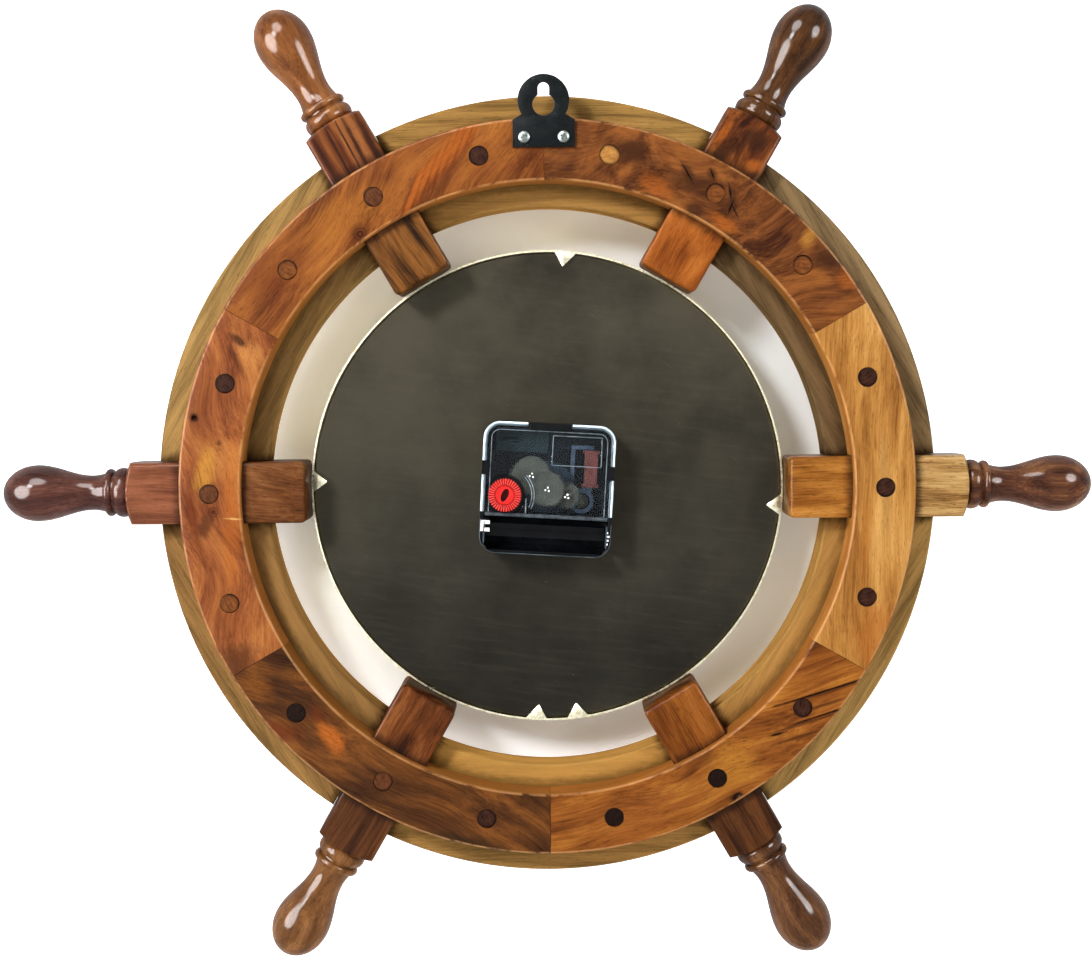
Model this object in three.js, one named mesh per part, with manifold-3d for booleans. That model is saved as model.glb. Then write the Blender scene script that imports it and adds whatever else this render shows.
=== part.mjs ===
// A ship wheel wall clock, modelled as the separate pieces that it comes apart into.
// Millimetres, +Z up. The dial faces -Y and the wall is at +Y.
// The origin is where the wall nail carries the hanger plate, in the plane of the rear rim's back.
// A depth counts from that plane towards the dial, so a depth d lies at y = -d.
// An angle counts anticlockwise as seen from the dial side, in degrees, with 0 along +X.

import * as THREE from "three";
import { mergeVertices } from "three/addons/utils/BufferGeometryUtils.js";
import Module from "manifold-3d";

const wasm = await Module();
wasm.setup();

// Gap between pieces that seat on each other
const fit = 0.3;

// Bezel, the round brass pan that holds the clock
const bezelRadius = 100;
const bezelSheet = 0.8;
const bezelRoll = 5;
const bezelLipWidth = 12;
const bezelLipDrop = 3;
const tabAngles = [95, 2, 184.7, 273.3, 263];
const tabWidth = 9;
const tabReach = 6;
const tabSheet = 0.6;

// Dial board, dial, spacer ring and glass, from the back to the front
const boardDepth = 23.3;
const boardThickness = 4.5;
const boardEdgeGap = 1.4;
const dialThickness = 0.5;
const spacerWall = 2;
const glassThickness = 2;

// Rims, outwards from the bezel
const rimGap = 17.5;
const frontRimWidth = 45.2;
const frontRimRound = 5;
const rearRimInset = 9;
const rearRimWidth = 25.5;
const rearRimDepth = 14;
const rimEdgeBreak = 1;

// Spokes: a square blank, turned to a handle outside the rims
const spokeCount = 6;
const spokeWidth = 25.4;
const rearCover = 4;
const frontCover = 4.6;
const blockOverhang = 11.9;
const shoulderLength = 2.5;
const beadRadius = 10.6;
const beadLength = 5.6;
const grooveRadius = 8.6;
const grooveLength = 1.8;
const blockGrooveLength = 0.9;
const collarRadius = 10;
const collarLength = 1.6;
const flareLength = 7.3;
const neckRadius = 7.3;
const taperLength = 22.2;
const bulbRadius = 11.9;
const tipLength = 14.6;

// Dowels, pins and hanger
const dowelRadius = 4;
const dowelFloor = 4;
const rimDowelAngle = 19;
const pinRadius = 0.8;
const pinLength = 13;
const pinHeadRadius = 2;
const pinHeadThickness = 0.7;
const hangerSheet = 1.3;
const hangerWidth = 25.2;
const hangerFoot = 13.2;
const hangerShoulder = 11;
const hangerHeadRadius = 10.5;
const hangerHeadRise = 18.8;
const hangerNeckTurn = 32;
const keyholeRise = 17.1;
const keyholeRadius = 4.5;
const slotWidth = 4.6;
const slotRise = 26;
const screwRise = 4;
const screwSpacing = 16;
const screwRadius = 1.6;
const screwLength = 10;
const screwHeadRadius = 2.5;
const screwHeadRise = 1.3;

// Hands, with the levels that they turn at
const nutThickness = 2.2;
const nutWidth = 11;
const nutSides = 6;
const bushStandOut = 0.6;
const handGap = 1.2;
const handThickness = 0.6;
const hourHandLength = 46;
const hourHandWidth = 6;
const minuteHandLength = 70;
const minuteHandWidth = 4.6;
const secondHandLength = 74;
const secondHandWidth = 1.8;
const handTail = 16;
const handTailShare = 2 / 3;
const handTipShare = 1 / 3;
const handHubWall = 1.6;

// Shaft and tubes on the clock's axis, from the inside out
const secondShaftRadius = 0.5;
const minuteTubeWall = 0.8;
const hourTubeWall = 0.8;
const bushWall = 1.2;

// Movement case
const movementTurn = -3.5;
const caseSize = 55;
const caseCorner = 7;
const caseWall = 1.4;
const caseFloor = 1.5;
const coverThickness = 1.4;
const coverRimWidth = 1.1;
const coverRimRise = 0.5;
const bayHeight = 14.5;
const bayDivider = 1;
const clipHook = 1.6;
const clipRise = 0.8;
const topClipWidth = 16.6;
const sideClipWidth = 5.8;
const sideClipRise = 8;
const labelFrameWidth = 20.7;
const labelFrameHeight = 12.6;
const labelFrameLine = 0.6;
const labelFrameSide = 5.55;
const labelFrameTop = 4.8;
const contactSheet = 0.5;
const contactWidth = 9;
const contactLip = 2.2;

// Wheel train: tooth counts, modules, directions from wheel to wheel and the pitch of the levels
const wheelThickness = 1.1;
const runningGap = 0.6;
const arborRadius = 0.5;
const hubRadius = 1.3;
const rotorTeeth = 6;
const intermediateTeeth = 30;
const intermediatePinionTeeth = 6;
const secondTeeth = 36;
const secondPinionTeeth = 6;
const thirdTeeth = 60;
const thirdPinionTeeth = 6;
const centreTeeth = 36;
const cannonTeeth = 8;
const minuteTeeth = 24;
const minutePinionTeeth = 8;
const hourTeeth = 32;
const knobTeeth = 11;
const rotorModule = 0.373;
const secondModule = 0.413;
const thirdModule = 0.265;
const motionModule = 0.625;
const thirdAngle = 39;
const intermediateAngle = 196.9;
const rotorAngle = 200;
const minuteWheelAngle = 23.2;
const knobAngle = -40.5;
const postRadius = 1.2;
const postAngles = [-45, 115, 240];

// Setting knob, motor and circuit
const knobRadius = 7;
const knobThickness = 3.5;
const knobRidges = 40;
const knobRidgeDepth = 0.45;
const knobSlotWidth = 2.6;
const knobSlotLength = 6.4;
const knobSlotDepth = 1.6;
const knobWellGap = 1.7;
const shelfThickness = 1.2;
const magnetRadius = 3;
const magnetOver = 0.25;
const statorRing = 1.7;
const coreWidth = 1.7;
const coilWallGap = 4.7;
const coilZ = 8.9;
const coilWidth = 5.4;
const coilLength = 13;
const coilFlange = 1.2;
const coilFlangeRise = 0.8;
const circuitSideGap = 3.6;
const circuitTopGap = 1.5;
const circuitWidth = 22;
const circuitHeight = 10;
const circuitSheet = 1;
const chipSize = 4.5;
const crystalRadius = 1.5;
const crystalLength = 7;

// Facets round a full turn
const felloeFacets = 8;
const clockFacets = 42;
const spokeFacets = 12;
const dowelFacets = 10;
const smallFacets = 8;
const pinFacets = 6;
const cornerFacets = 2;
const rollSteps = 2;
const beadSteps = 3;
const flareSteps = 2;
const taperSteps = 4;
const tipSteps = 3;

// Radii that follow from the sizes above
const frontRimInner = bezelRadius + rimGap;
const frontRimOuter = frontRimInner + frontRimWidth;
const rearRimInner = frontRimInner + rearRimInset;
const rearRimOuter = rearRimInner + rearRimWidth;
const dowelCircle = (rearRimInner + rearRimOuter) / 2;
const spokeInner = bezelRadius + fit;
const blockEnd = frontRimOuter + blockOverhang;
const boardRadius = bezelRadius - bezelSheet - boardEdgeGap;
const minuteTubeBore = secondShaftRadius + fit;
const minuteTubeRadius = minuteTubeBore + minuteTubeWall;
const hourTubeBore = minuteTubeRadius + fit;
const hourTubeRadius = hourTubeBore + hourTubeWall;
const bushBore = hourTubeRadius + fit;
const bushRadius = bushBore + bushWall;

// Depths that follow from the sizes above
const frontRimBack = rearRimDepth + fit;
const spokeFront = rearCover + spokeWidth;
const frontRimFront = spokeFront + frontCover;
const bezelBack = boardDepth - fit - tabSheet;
const boardFront = boardDepth + boardThickness;
const dialFront = boardFront + fit + dialThickness;
const bushFront = dialFront + fit + nutThickness + bushStandOut;
const hourHandBack = bushFront + handGap;
const minuteHandBack = hourHandBack + handThickness + handGap;
const secondHandBack = minuteHandBack + handThickness + handGap;
const glassBack = secondHandBack + handThickness + handGap;
const glassFront = glassBack + glassThickness;
const bezelFront = glassFront + fit + bezelSheet + bezelLipDrop;
const caseFront = boardDepth - fit;
const floorInside = caseFront - caseFloor;

// Wheel levels count from the case floor to the rear cover
const levelPitch = wheelThickness + runningGap;
const levelFront = (level) => floorInside - runningGap - level * levelPitch;
const levelBack = (level) => levelFront(level) - wheelThickness;
const hourLevel = 0;
const minuteLevel = 1;
const plateLevel = 2;
const centreLevel = 3;
const intermediateLevel = 4;
const thirdLevel = 5;
const secondLevel = 6;
const coverInside = levelBack(secondLevel) - runningGap;
const coverBack = coverInside - coverThickness;
const pivotEnd = coverInside - coverThickness / 2;
const arborFront = floorInside - fit;

// Wheel places, from the shaft outwards, in the movement's own frame
const degree = Math.PI / 180;

function polar(radius, angle) {
  return new THREE.Vector2(radius * Math.cos(angle * degree), radius * Math.sin(angle * degree));
}

const meshDistance = (module, first, second) => (module * (first + second)) / 2;
const thirdDistance = meshDistance(thirdModule, secondPinionTeeth, thirdTeeth);
const centreModule = (2 * thirdDistance) / (thirdPinionTeeth + centreTeeth);
const minuteDistance = meshDistance(motionModule, cannonTeeth, minuteTeeth);
const hourModule = (2 * minuteDistance) / (minutePinionTeeth + hourTeeth);
const intermediateDistance = meshDistance(secondModule, intermediatePinionTeeth, secondTeeth);
const rotorDistance = meshDistance(rotorModule, rotorTeeth, intermediateTeeth);
const knobDistance = meshDistance(motionModule, minuteTeeth, knobTeeth);
const axis = new THREE.Vector2(0, 0);
const thirdPlace = polar(thirdDistance, thirdAngle);
const intermediatePlace = polar(intermediateDistance, intermediateAngle);
const rotorPlace = polar(rotorDistance, rotorAngle).add(intermediatePlace);
const minutePlace = polar(minuteDistance, minuteWheelAngle);
const knobPlace = polar(knobDistance, knobAngle).add(minutePlace);

// Solids: a geometry becomes a closed solid, which is joined and cut, and turned back into a geometry
const weld = 1e-4;

function asSolid(shape) {
  if (!shape.isBufferGeometry) return shape;
  const bare = new THREE.BufferGeometry();
  bare.setAttribute("position", shape.getAttribute("position"));
  bare.setIndex(shape.getIndex());
  const merged = mergeVertices(bare, weld);
  const corners = merged.getIndex().array;
  const kept = [];
  for (let i = 0; i < corners.length; i += 3) {
    const [a, b, c] = corners.slice(i, i + 3);
    if (a !== b && b !== c && c !== a) kept.push(a, b, c);
  }
  const vertProperties = merged.getAttribute("position").array;
  const triVerts = new Uint32Array(kept);
  return new wasm.Manifold(new wasm.Mesh({ numProp: 3, vertProperties, triVerts }));
}

function asGeometry(solid) {
  const mesh = solid.getMesh();
  const geometry = new THREE.BufferGeometry();
  geometry.setAttribute("position", new THREE.BufferAttribute(mesh.vertProperties, 3));
  geometry.setIndex(new THREE.BufferAttribute(mesh.triVerts, 1));
  geometry.computeVertexNormals();
  return geometry;
}

const join = (first, ...rest) => rest.reduce((body, next) => body.add(asSolid(next)), asSolid(first));
const cut = (first, ...rest) => rest.reduce((body, next) => body.subtract(asSolid(next)), asSolid(first));
const common = (first, second) => asSolid(first).intersect(asSolid(second));

// Circumradius of a faceted hole whose flats keep clear of a round piece
const around = (radius, facets) => radius / Math.cos(Math.PI / facets);

// Distance from the middle to the flats of a faceted round
const flats = (radius, facets) => radius * Math.cos(Math.PI / facets);

// A flat outline in X and Z, given depth from back to front
function plate(shape, back, front, facets = smallFacets) {
  const options = { depth: front - back, bevelEnabled: false, curveSegments: facets };
  return new THREE.ExtrudeGeometry(shape, options).rotateX(Math.PI / 2).translate(0, -back, 0);
}

function block(x0, x1, back, front, z0, z1) {
  const box = new THREE.BoxGeometry(x1 - x0, front - back, z1 - z0);
  return box.translate((x0 + x1) / 2, -(back + front) / 2, (z0 + z1) / 2);
}

// A round bar along the clock's axis
function rod(place, radius, back, front, facets = smallFacets) {
  const bar = new THREE.CylinderGeometry(radius, radius, front - back, facets);
  return bar.translate(place.x, -(back + front) / 2, place.y);
}

// A profile of [radius, depth] points turned about the clock's axis
function turned(profile, facets) {
  const points = profile.map(([radius, depth]) => new THREE.Vector2(radius, -depth));
  return new THREE.LatheGeometry(points, facets);
}

function disc(radius, back, front, facets) {
  return turned([[0, front], [radius, front], [radius, back], [0, back]], facets);
}

// Points of a quarter round, from one direction to the other about its centre
function arcPoints(centreRadius, centreDepth, radius, fromAngle, toAngle, steps) {
  const points = [];
  for (let i = 0; i <= steps; i++) {
    const turn = polar(radius, fromAngle + ((toAngle - fromAngle) * i) / steps);
    points.push([centreRadius + turn.x, centreDepth + turn.y]);
  }
  return points;
}

function roundedSquare(size, corner) {
  const half = size / 2;
  const near = half - corner;
  const shape = new THREE.Shape();
  shape.absarc(near, near, corner, 0, Math.PI / 2);
  shape.absarc(-near, near, corner, Math.PI / 2, Math.PI);
  shape.absarc(-near, -near, corner, Math.PI, 1.5 * Math.PI);
  shape.absarc(near, -near, corner, 1.5 * Math.PI, 2 * Math.PI);
  return shape;
}

function circlePath(place, radius) {
  const path = new THREE.Path();
  path.absarc(place.x, place.y, radius, 0, 2 * Math.PI, true);
  return path;
}

// Gears: pointed teeth on the wheels and flat-topped ones on the pinions, slim enough to run with play
const toothRise = 0.85;
const wheelRoot = 1.8;
const pinionRoot = 1.2;
const tipShare = 0.08;
const rootShare = 0.22;
const mostPinionTeeth = 12;

const tipRadius = (module, teeth) => module * (teeth / 2 + toothRise);

function gearShape(module, teeth, phase) {
  const pitch = 360 / teeth;
  const tip = tipRadius(module, teeth);
  const isPinion = teeth <= mostPinionTeeth;
  const root = module * (teeth / 2 - (isPinion ? pinionRoot : wheelRoot));
  const pinionTooth = [[root, -rootShare], [tip, -tipShare], [tip, tipShare], [root, rootShare]];
  const wheelTooth = [[root, -0.5], [tip, 0]];
  const points = [];
  for (let k = 0; k < teeth; k++) {
    for (const [radius, share] of isPinion ? pinionTooth : wheelTooth) {
      points.push(polar(radius, phase + (k + share) * pitch));
    }
  }
  return new THREE.Shape(points);
}

function gear(place, module, teeth, phase, back, front) {
  return plate(gearShape(module, teeth, phase), back, front).translate(place.x, 0, place.y);
}

// Phase of a gear whose gaps meet the teeth of another gear that lies in the given direction from it
function meshPhase(drivingTeeth, drivingPhase, direction, drivenTeeth) {
  const offset = ((direction - drivingPhase) * drivingTeeth) / 360;
  return direction + 180 + ((offset - 0.5) * 360) / drivenTeeth;
}

// Finishes
function finish(color, roughness, metalness = 0) {
  return new THREE.MeshStandardMaterial({ color, roughness, metalness });
}

const rearWood = finish(0x8f4a1d, 0.4);
const frontWood = finish(0x9a7538, 0.5);
const spokeWood = finish(0x7a421c, 0.35);
const dowelWood = finish(0x4a2a17, 0.5);
const blackEnamel = finish(0x15171a, 0.45, 0.4);
const zinc = finish(0xb9bcbf, 0.35, 0.9);
const brass = finish(0xd9bd74, 0.3, 1);
const boardBlack = finish(0x2b2724, 0.85);
const dialWhite = finish(0xf2efe6, 0.6);
const clearGlass = finish(0xdfe8e8, 0.05);
clearGlass.transparent = true;
clearGlass.opacity = 0.25;
const smokyCover = clearGlass.clone();
smokyCover.color.set(0x3c4650);
const handBlack = finish(0x141414, 0.4);
const caseBlack = finish(0x121416, 0.45);
const wheelPlastic = finish(0xc9cac4, 0.45);
const knobRed = finish(0xd8201c, 0.4);
const copper = finish(0xb5602a, 0.35, 0.9);
const steel = finish(0x8d9094, 0.35, 0.9);
const boardGreen = finish(0x2d5a34, 0.5);

const wheel = new THREE.Group();

function add(group, name, solid, material) {
  const mesh = new THREE.Mesh(asGeometry(asSolid(solid)), material);
  mesh.name = name;
  group.add(mesh);
  return mesh;
}

// Rims: each ring is turned in one piece and cut into felloes, which break joint with each other
const spokeAngle = 360 / spokeCount;
const topAngle = 90;
const rimFacets = felloeFacets * spokeCount;
const spokeAngles = Array.from({ length: spokeCount }, (unused, i) => i * spokeAngle);
const turnTo = (angle) => -angle * degree;

function felloeWedge(back, front) {
  const reach = 2 * frontRimOuter;
  const half = spokeAngle / 2;
  const tip = new THREE.Vector2(fit / 2 / Math.sin(half * degree), 0);
  const shape = new THREE.Shape([tip, polar(reach, -half).add(tip), polar(reach, half).add(tip)]);
  return plate(shape, back, front);
}

function spokeSlot(angle) {
  const half = spokeWidth / 2 + fit;
  const slot = block(0, 2 * frontRimOuter, rearCover - fit, spokeFront + fit, -half, half);
  return slot.rotateY(turnTo(angle));
}

function rearFelloe() {
  const e = rimEdgeBreak;
  const profile = [
    [rearRimInner, rearRimDepth],
    [rearRimOuter, rearRimDepth],
    [rearRimOuter, e],
    [rearRimOuter - e, 0],
    [rearRimInner + e, 0],
    [rearRimInner, e],
    [rearRimInner, rearRimDepth],
  ];
  const holeRadius = around(dowelRadius + fit, dowelFacets);
  const hole = (angle) => rod(polar(dowelCircle, angle), holeRadius, -fit, rearRimDepth + fit, dowelFacets);
  const arc = common(turned(profile, rimFacets), felloeWedge(-fit, rearRimDepth + fit));
  return cut(arc, spokeSlot(0), hole(0), hole(rimDowelAngle), hole(-rimDowelAngle));
}

// A front felloe carries its two rim dowels, which stand in the rear felloes on both sides of a joint
function frontFelloe() {
  const r = frontRimRound;
  const profile = [
    ...arcPoints(frontRimInner + r, frontRimFront - r, r, 180, 90, rollSteps),
    ...arcPoints(frontRimOuter - r, frontRimFront - r, r, 90, 0, rollSteps),
    [frontRimOuter, frontRimBack],
    [frontRimInner, frontRimBack],
    [frontRimInner, frontRimFront - r],
  ];
  const half = spokeAngle / 2;
  const arc = common(turned(profile, rimFacets), felloeWedge(frontRimBack - fit, frontRimFront + fit));
  const dowelFront = frontRimFront - dowelFloor;
  const dowel = (angle) => rod(polar(dowelCircle, angle), dowelRadius, 0, dowelFront, dowelFacets);
  const dowelSide = half - rimDowelAngle;
  return join(cut(arc, spokeSlot(half), spokeSlot(-half)), dowel(dowelSide), dowel(-dowelSide));
}

// Spokes: a square blank met by the turning's profile, along +X
const ringsLength = blockGrooveLength + beadLength + grooveLength + collarLength;
const handleLength = ringsLength + flareLength + taperLength + tipLength;
const spokeTip = blockEnd + handleLength;
const spokeMiddle = rearCover + spokeWidth / 2;

// [radius, distance from the wheel's axis] from the block's end to the tip
function handleProfile() {
  const points = [[spokeWidth / 2, blockEnd], [grooveRadius, blockEnd]];
  const beadStart = blockEnd + blockGrooveLength;
  const beadEnd = beadStart + beadLength;
  const collarStart = beadEnd + grooveLength;
  const flareStart = collarStart + collarLength;
  const taperStart = flareStart + flareLength;
  const bulbMiddle = taperStart + taperLength;
  for (let i = 0; i <= beadSteps; i++) {
    const rise = (beadRadius - grooveRadius) * Math.sin((i * Math.PI) / beadSteps);
    points.push([grooveRadius + rise, beadStart + (beadLength * i) / beadSteps]);
  }
  points.push([grooveRadius, collarStart], [collarRadius, collarStart]);
  for (let i = 0; i < flareSteps; i++) {
    const rise = (collarRadius - neckRadius) * (1 - i / flareSteps) ** 2;
    points.push([neckRadius + rise, flareStart + (flareLength * i) / flareSteps]);
  }
  for (let i = 0; i < taperSteps; i++) {
    const rise = (bulbRadius - neckRadius) * (0.5 - 0.5 * Math.cos((Math.PI * i) / taperSteps));
    points.push([neckRadius + rise, taperStart + (taperLength * i) / taperSteps]);
  }
  for (let i = 0; i < tipSteps; i++) {
    const turn = (90 * i) / tipSteps;
    const { x: radius, y: along } = polar(1, turn);
    points.push([bulbRadius * radius, bulbMiddle + tipLength * along]);
  }
  points.push([0, spokeTip]);
  return points;
}

const pinDepth = boardDepth + boardThickness / 2;

function pinBar(radius, from, to) {
  const bar = new THREE.CylinderGeometry(radius, radius, to - from, pinFacets);
  return bar.rotateZ(-Math.PI / 2).translate((from + to) / 2, -pinDepth, 0);
}

function spoke() {
  const half = spokeWidth / 2;
  const reach = spokeTip + handleLength;
  const cornerRadius = half * Math.SQRT2 + fit;
  const profile = [
    [0, spokeInner],
    [cornerRadius, spokeInner],
    [cornerRadius, blockEnd - shoulderLength],
    ...handleProfile(),
  ];
  const points = profile.map(([radius, along]) => new THREE.Vector2(radius, along));
  const turning = new THREE.LatheGeometry(points, spokeFacets).rotateZ(-Math.PI / 2);
  const blank = block(0, reach, rearCover, spokeFront, -half, half);
  const holeRadius = around(dowelRadius + fit, dowelFacets);
  const holeFront = spokeFront - dowelFloor + fit;
  const dowelHole = rod(polar(dowelCircle, 0), holeRadius, 0, holeFront, dowelFacets);
  const pinHole = pinBar(around(pinRadius + fit, pinFacets), 0, spokeInner + pinLength);
  return cut(common(turning.translate(0, -spokeMiddle, 0), blank), dowelHole, pinHole);
}

function spokeDowel() {
  return rod(polar(dowelCircle, 0), dowelRadius, 0, spokeFront - dowelFloor, dowelFacets);
}

// A pin whose head lies inside the bezel's wall and whose shank runs into a spoke's end
function bezelPin() {
  const headFront = flats(bezelRadius - bezelSheet, clockFacets) - fit;
  const head = pinBar(pinHeadRadius, headFront - pinHeadThickness, headFront);
  return join(head, pinBar(pinRadius, headFront - pinHeadThickness, headFront + pinLength));
}

// Hanger plate on the rear rim's back, with the keyhole's slot upwards
const hangerBottom = rearRimInner + hangerFoot;
const slotTop = hangerBottom + slotRise;
const nailHeight = slotTop - slotWidth / 2;
const hangerFront = -fit;
const hangerBack = hangerFront - hangerSheet;
const screwPlaces = [-1, 1].map(
  (side) => new THREE.Vector2((side * screwSpacing) / 2, hangerBottom + screwRise),
);

function hangerPlate() {
  const half = hangerWidth / 2;
  const headZ = hangerBottom + hangerHeadRise;
  const keyholeZ = hangerBottom + keyholeRise;
  const neckTurn = hangerNeckTurn * degree;
  const shape = new THREE.Shape();
  shape.moveTo(-half, hangerBottom);
  shape.lineTo(half, hangerBottom);
  shape.lineTo(half, hangerBottom + hangerShoulder);
  shape.absarc(0, headZ, hangerHeadRadius, -neckTurn, Math.PI + neckTurn);
  shape.lineTo(-half, hangerBottom + hangerShoulder);
  const slotTurn = Math.asin(slotWidth / 2 / keyholeRadius);
  const keyhole = new THREE.Path();
  keyhole.absarc(0, keyholeZ, keyholeRadius, Math.PI / 2 - slotTurn, Math.PI / 2 + slotTurn, true);
  keyhole.absarc(0, nailHeight, slotWidth / 2, Math.PI, 0, true);
  shape.holes.push(keyhole);
  for (const place of screwPlaces) {
    shape.holes.push(circlePath(place, around(screwRadius + fit, smallFacets)));
  }
  return plate(shape, hangerBack, hangerFront, smallFacets);
}

function hangerScrew(place) {
  const seat = hangerBack - fit;
  const profile = [
    [0, seat + screwLength],
    [screwRadius, seat + screwLength],
    [screwRadius, seat],
    [screwHeadRadius, seat],
    [screwHeadRadius, seat - screwHeadRise / 2],
    [screwRadius, seat - screwHeadRise],
    [0, seat - screwHeadRise],
  ];
  return turned(profile, smallFacets).translate(place.x, 0, place.y);
}

// Screw holes fall in the two felloes that meet under the hanger plate
function withScrewHoles(felloe, angle) {
  const radius = around(screwRadius + fit, smallFacets);
  const floor = hangerBack + screwLength;
  const holes = screwPlaces.map((place) => {
    const hole = rod(place, radius, hangerBack, floor);
    return hole.rotateY(-turnTo(angle));
  });
  return cut(felloe, ...holes);
}

const rearArc = rearFelloe();
const frontArc = frontFelloe();
const spokeForm = spoke();

spokeAngles.forEach((angle, index) => {
  const number = index + 1;
  const underHanger = Math.abs(angle - topAngle) < spokeAngle;
  const rear = underHanger ? withScrewHoles(rearArc, angle) : rearArc;
  const betweenSpokes = angle + spokeAngle / 2;
  add(wheel, `rear_felloe_${number}`, rear, rearWood).rotation.y = turnTo(angle);
  add(wheel, `front_felloe_${number}`, frontArc, frontWood).rotation.y = turnTo(betweenSpokes);
  add(wheel, `spoke_${number}`, spokeForm, spokeWood).rotation.y = turnTo(angle);
  add(wheel, `spoke_dowel_${number}`, spokeDowel(), dowelWood).rotation.y = turnTo(angle);
  add(wheel, `bezel_pin_${number}`, bezelPin(), zinc).rotation.y = turnTo(angle);
});
add(wheel, "hanger_plate", hangerPlate(), blackEnamel);
screwPlaces.forEach((place, index) => {
  add(wheel, `hanger_screw_${index + 1}`, hangerScrew(place), zinc);
});

// Bezel: a spun wall, rolled over the glass, with bent tabs behind the dial board
function bezel() {
  const wallInside = bezelRadius - bezelSheet;
  const rollCentre = [bezelRadius - bezelRoll, bezelFront - bezelRoll];
  const lipEdge = bezelRadius - bezelLipWidth;
  const lipFront = bezelFront - bezelLipDrop;
  const profile = [
    [wallInside, bezelBack],
    ...arcPoints(...rollCentre, bezelRoll - bezelSheet, 0, 90, rollSteps),
    [lipEdge, lipFront - bezelSheet],
    [lipEdge, lipFront],
    ...arcPoints(...rollCentre, bezelRoll, 90, 0, rollSteps),
    [bezelRadius, bezelBack],
    [wallInside, bezelBack],
  ];
  const tabs = tabAngles.map((angle) => {
    const root = bezelRadius - bezelSheet / 2;
    const half = tabWidth / 2;
    const shape = new THREE.Shape();
    shape.moveTo(root, -half);
    shape.lineTo(root, half);
    shape.lineTo(bezelRadius - tabReach, 0);
    return plate(shape, bezelBack, bezelBack + tabSheet).rotateY(turnTo(angle));
  });
  const holeRadius = around(pinRadius + fit, pinFacets);
  const holes = spokeAngles.map((angle) => {
    const hole = pinBar(holeRadius, bezelRadius - bezelRoll, bezelRadius + bezelRoll);
    return hole.rotateY(turnTo(angle));
  });
  return cut(join(turned(profile, clockFacets), ...tabs), ...holes);
}

function spacerRing() {
  const outer = bezelRadius - bezelSheet - fit;
  const inner = outer - spacerWall;
  const back = dialFront + fit;
  const front = glassBack - fit;
  const profile = [[inner, back], [inner, front], [outer, front], [outer, back], [inner, back]];
  return turned(profile, clockFacets);
}

function boredDisc(radius, back, front) {
  const bore = rod(axis, around(bushRadius + fit, dowelFacets), back - fit, front + fit, dowelFacets);
  return cut(disc(radius, back, front, clockFacets), bore);
}

add(wheel, "bezel", bezel(), brass);
add(wheel, "dial_board", boredDisc(boardRadius, boardDepth, boardFront), boardBlack);
add(wheel, "dial", boredDisc(boardRadius, boardFront + fit, dialFront), dialWhite);
add(wheel, "spacer_ring", spacerRing(), dialWhite);
const glassRadius = bezelRadius - bezelSheet - 2 * fit;
add(wheel, "glass", disc(glassRadius, glassBack, glassFront, clockFacets), clearGlass);

// Movement, in its own frame about the clock's axis
const movement = new THREE.Group();
movement.rotation.y = movementTurn * degree;
wheel.add(movement);

const caseHalf = caseSize / 2;
const caseInside = caseHalf - caseWall;
const coilX = -(caseInside - coilWallGap - coilFlangeRise - coilWidth / 2);
const circuitX = caseInside - circuitSideGap - circuitWidth / 2;
const circuitZ = caseInside - circuitTopGap - circuitHeight / 2;
const labelFrameX = -(caseHalf - labelFrameSide - labelFrameWidth / 2);
const labelFrameZ = caseHalf - labelFrameTop - labelFrameHeight / 2;
const bayBottom = -caseInside;
const bayTop = bayBottom + bayHeight;
const dividerTop = bayTop + bayDivider;
const bayLength = 2 * caseInside;
const wellRadius = knobRadius + knobWellGap;
const clips = [
  { turn: 0, width: topClipWidth, along: 0 },
  { turn: 90, width: sideClipWidth, along: -sideClipRise },
  { turn: -90, width: sideClipWidth, along: sideClipRise },
];

function belowLine(z) {
  return block(-caseSize, caseSize, -caseSize, caseSize, -caseSize, z);
}

// A hooked tongue on the case wall that holds the cover's edge
function clip({ turn, width, along }) {
  const x0 = along - width / 2;
  const x1 = along + width / 2;
  const hookBack = coverBack - coverRimRise - fit - clipRise;
  const tongue = block(x0, x1, hookBack, coverInside + caseWall, caseInside, caseHalf);
  const hook = block(x0, x1, hookBack, hookBack + clipRise, caseInside - clipHook, caseHalf);
  return join(tongue.rotateY(turn * degree), hook.rotateY(turn * degree));
}

function clipNotch({ turn, width, along }) {
  const x0 = along - width / 2 - fit;
  const x1 = along + width / 2 + fit;
  const notch = block(x0, x1, 0, coverInside + caseWall, caseInside - fit, caseSize);
  return notch.rotateY(turn * degree);
}

// Open trough for the cell: straight walls at the mouth and a round floor
function batteryBay() {
  const radius = bayHeight / 2;
  const middle = (bayTop + bayBottom) / 2;
  const shape = new THREE.Shape();
  shape.moveTo(radius, 0);
  shape.lineTo(radius, floorInside - radius);
  shape.absarc(0, floorInside - radius, radius, 0, Math.PI);
  shape.lineTo(-radius, 0);
  const trough = new THREE.ExtrudeGeometry(shape, {
    depth: bayLength,
    bevelEnabled: false,
    curveSegments: 2 * cornerFacets,
  });
  return trough.rotateX(Math.PI).rotateY(Math.PI / 2).translate(bayLength / 2, 0, middle);
}

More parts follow.
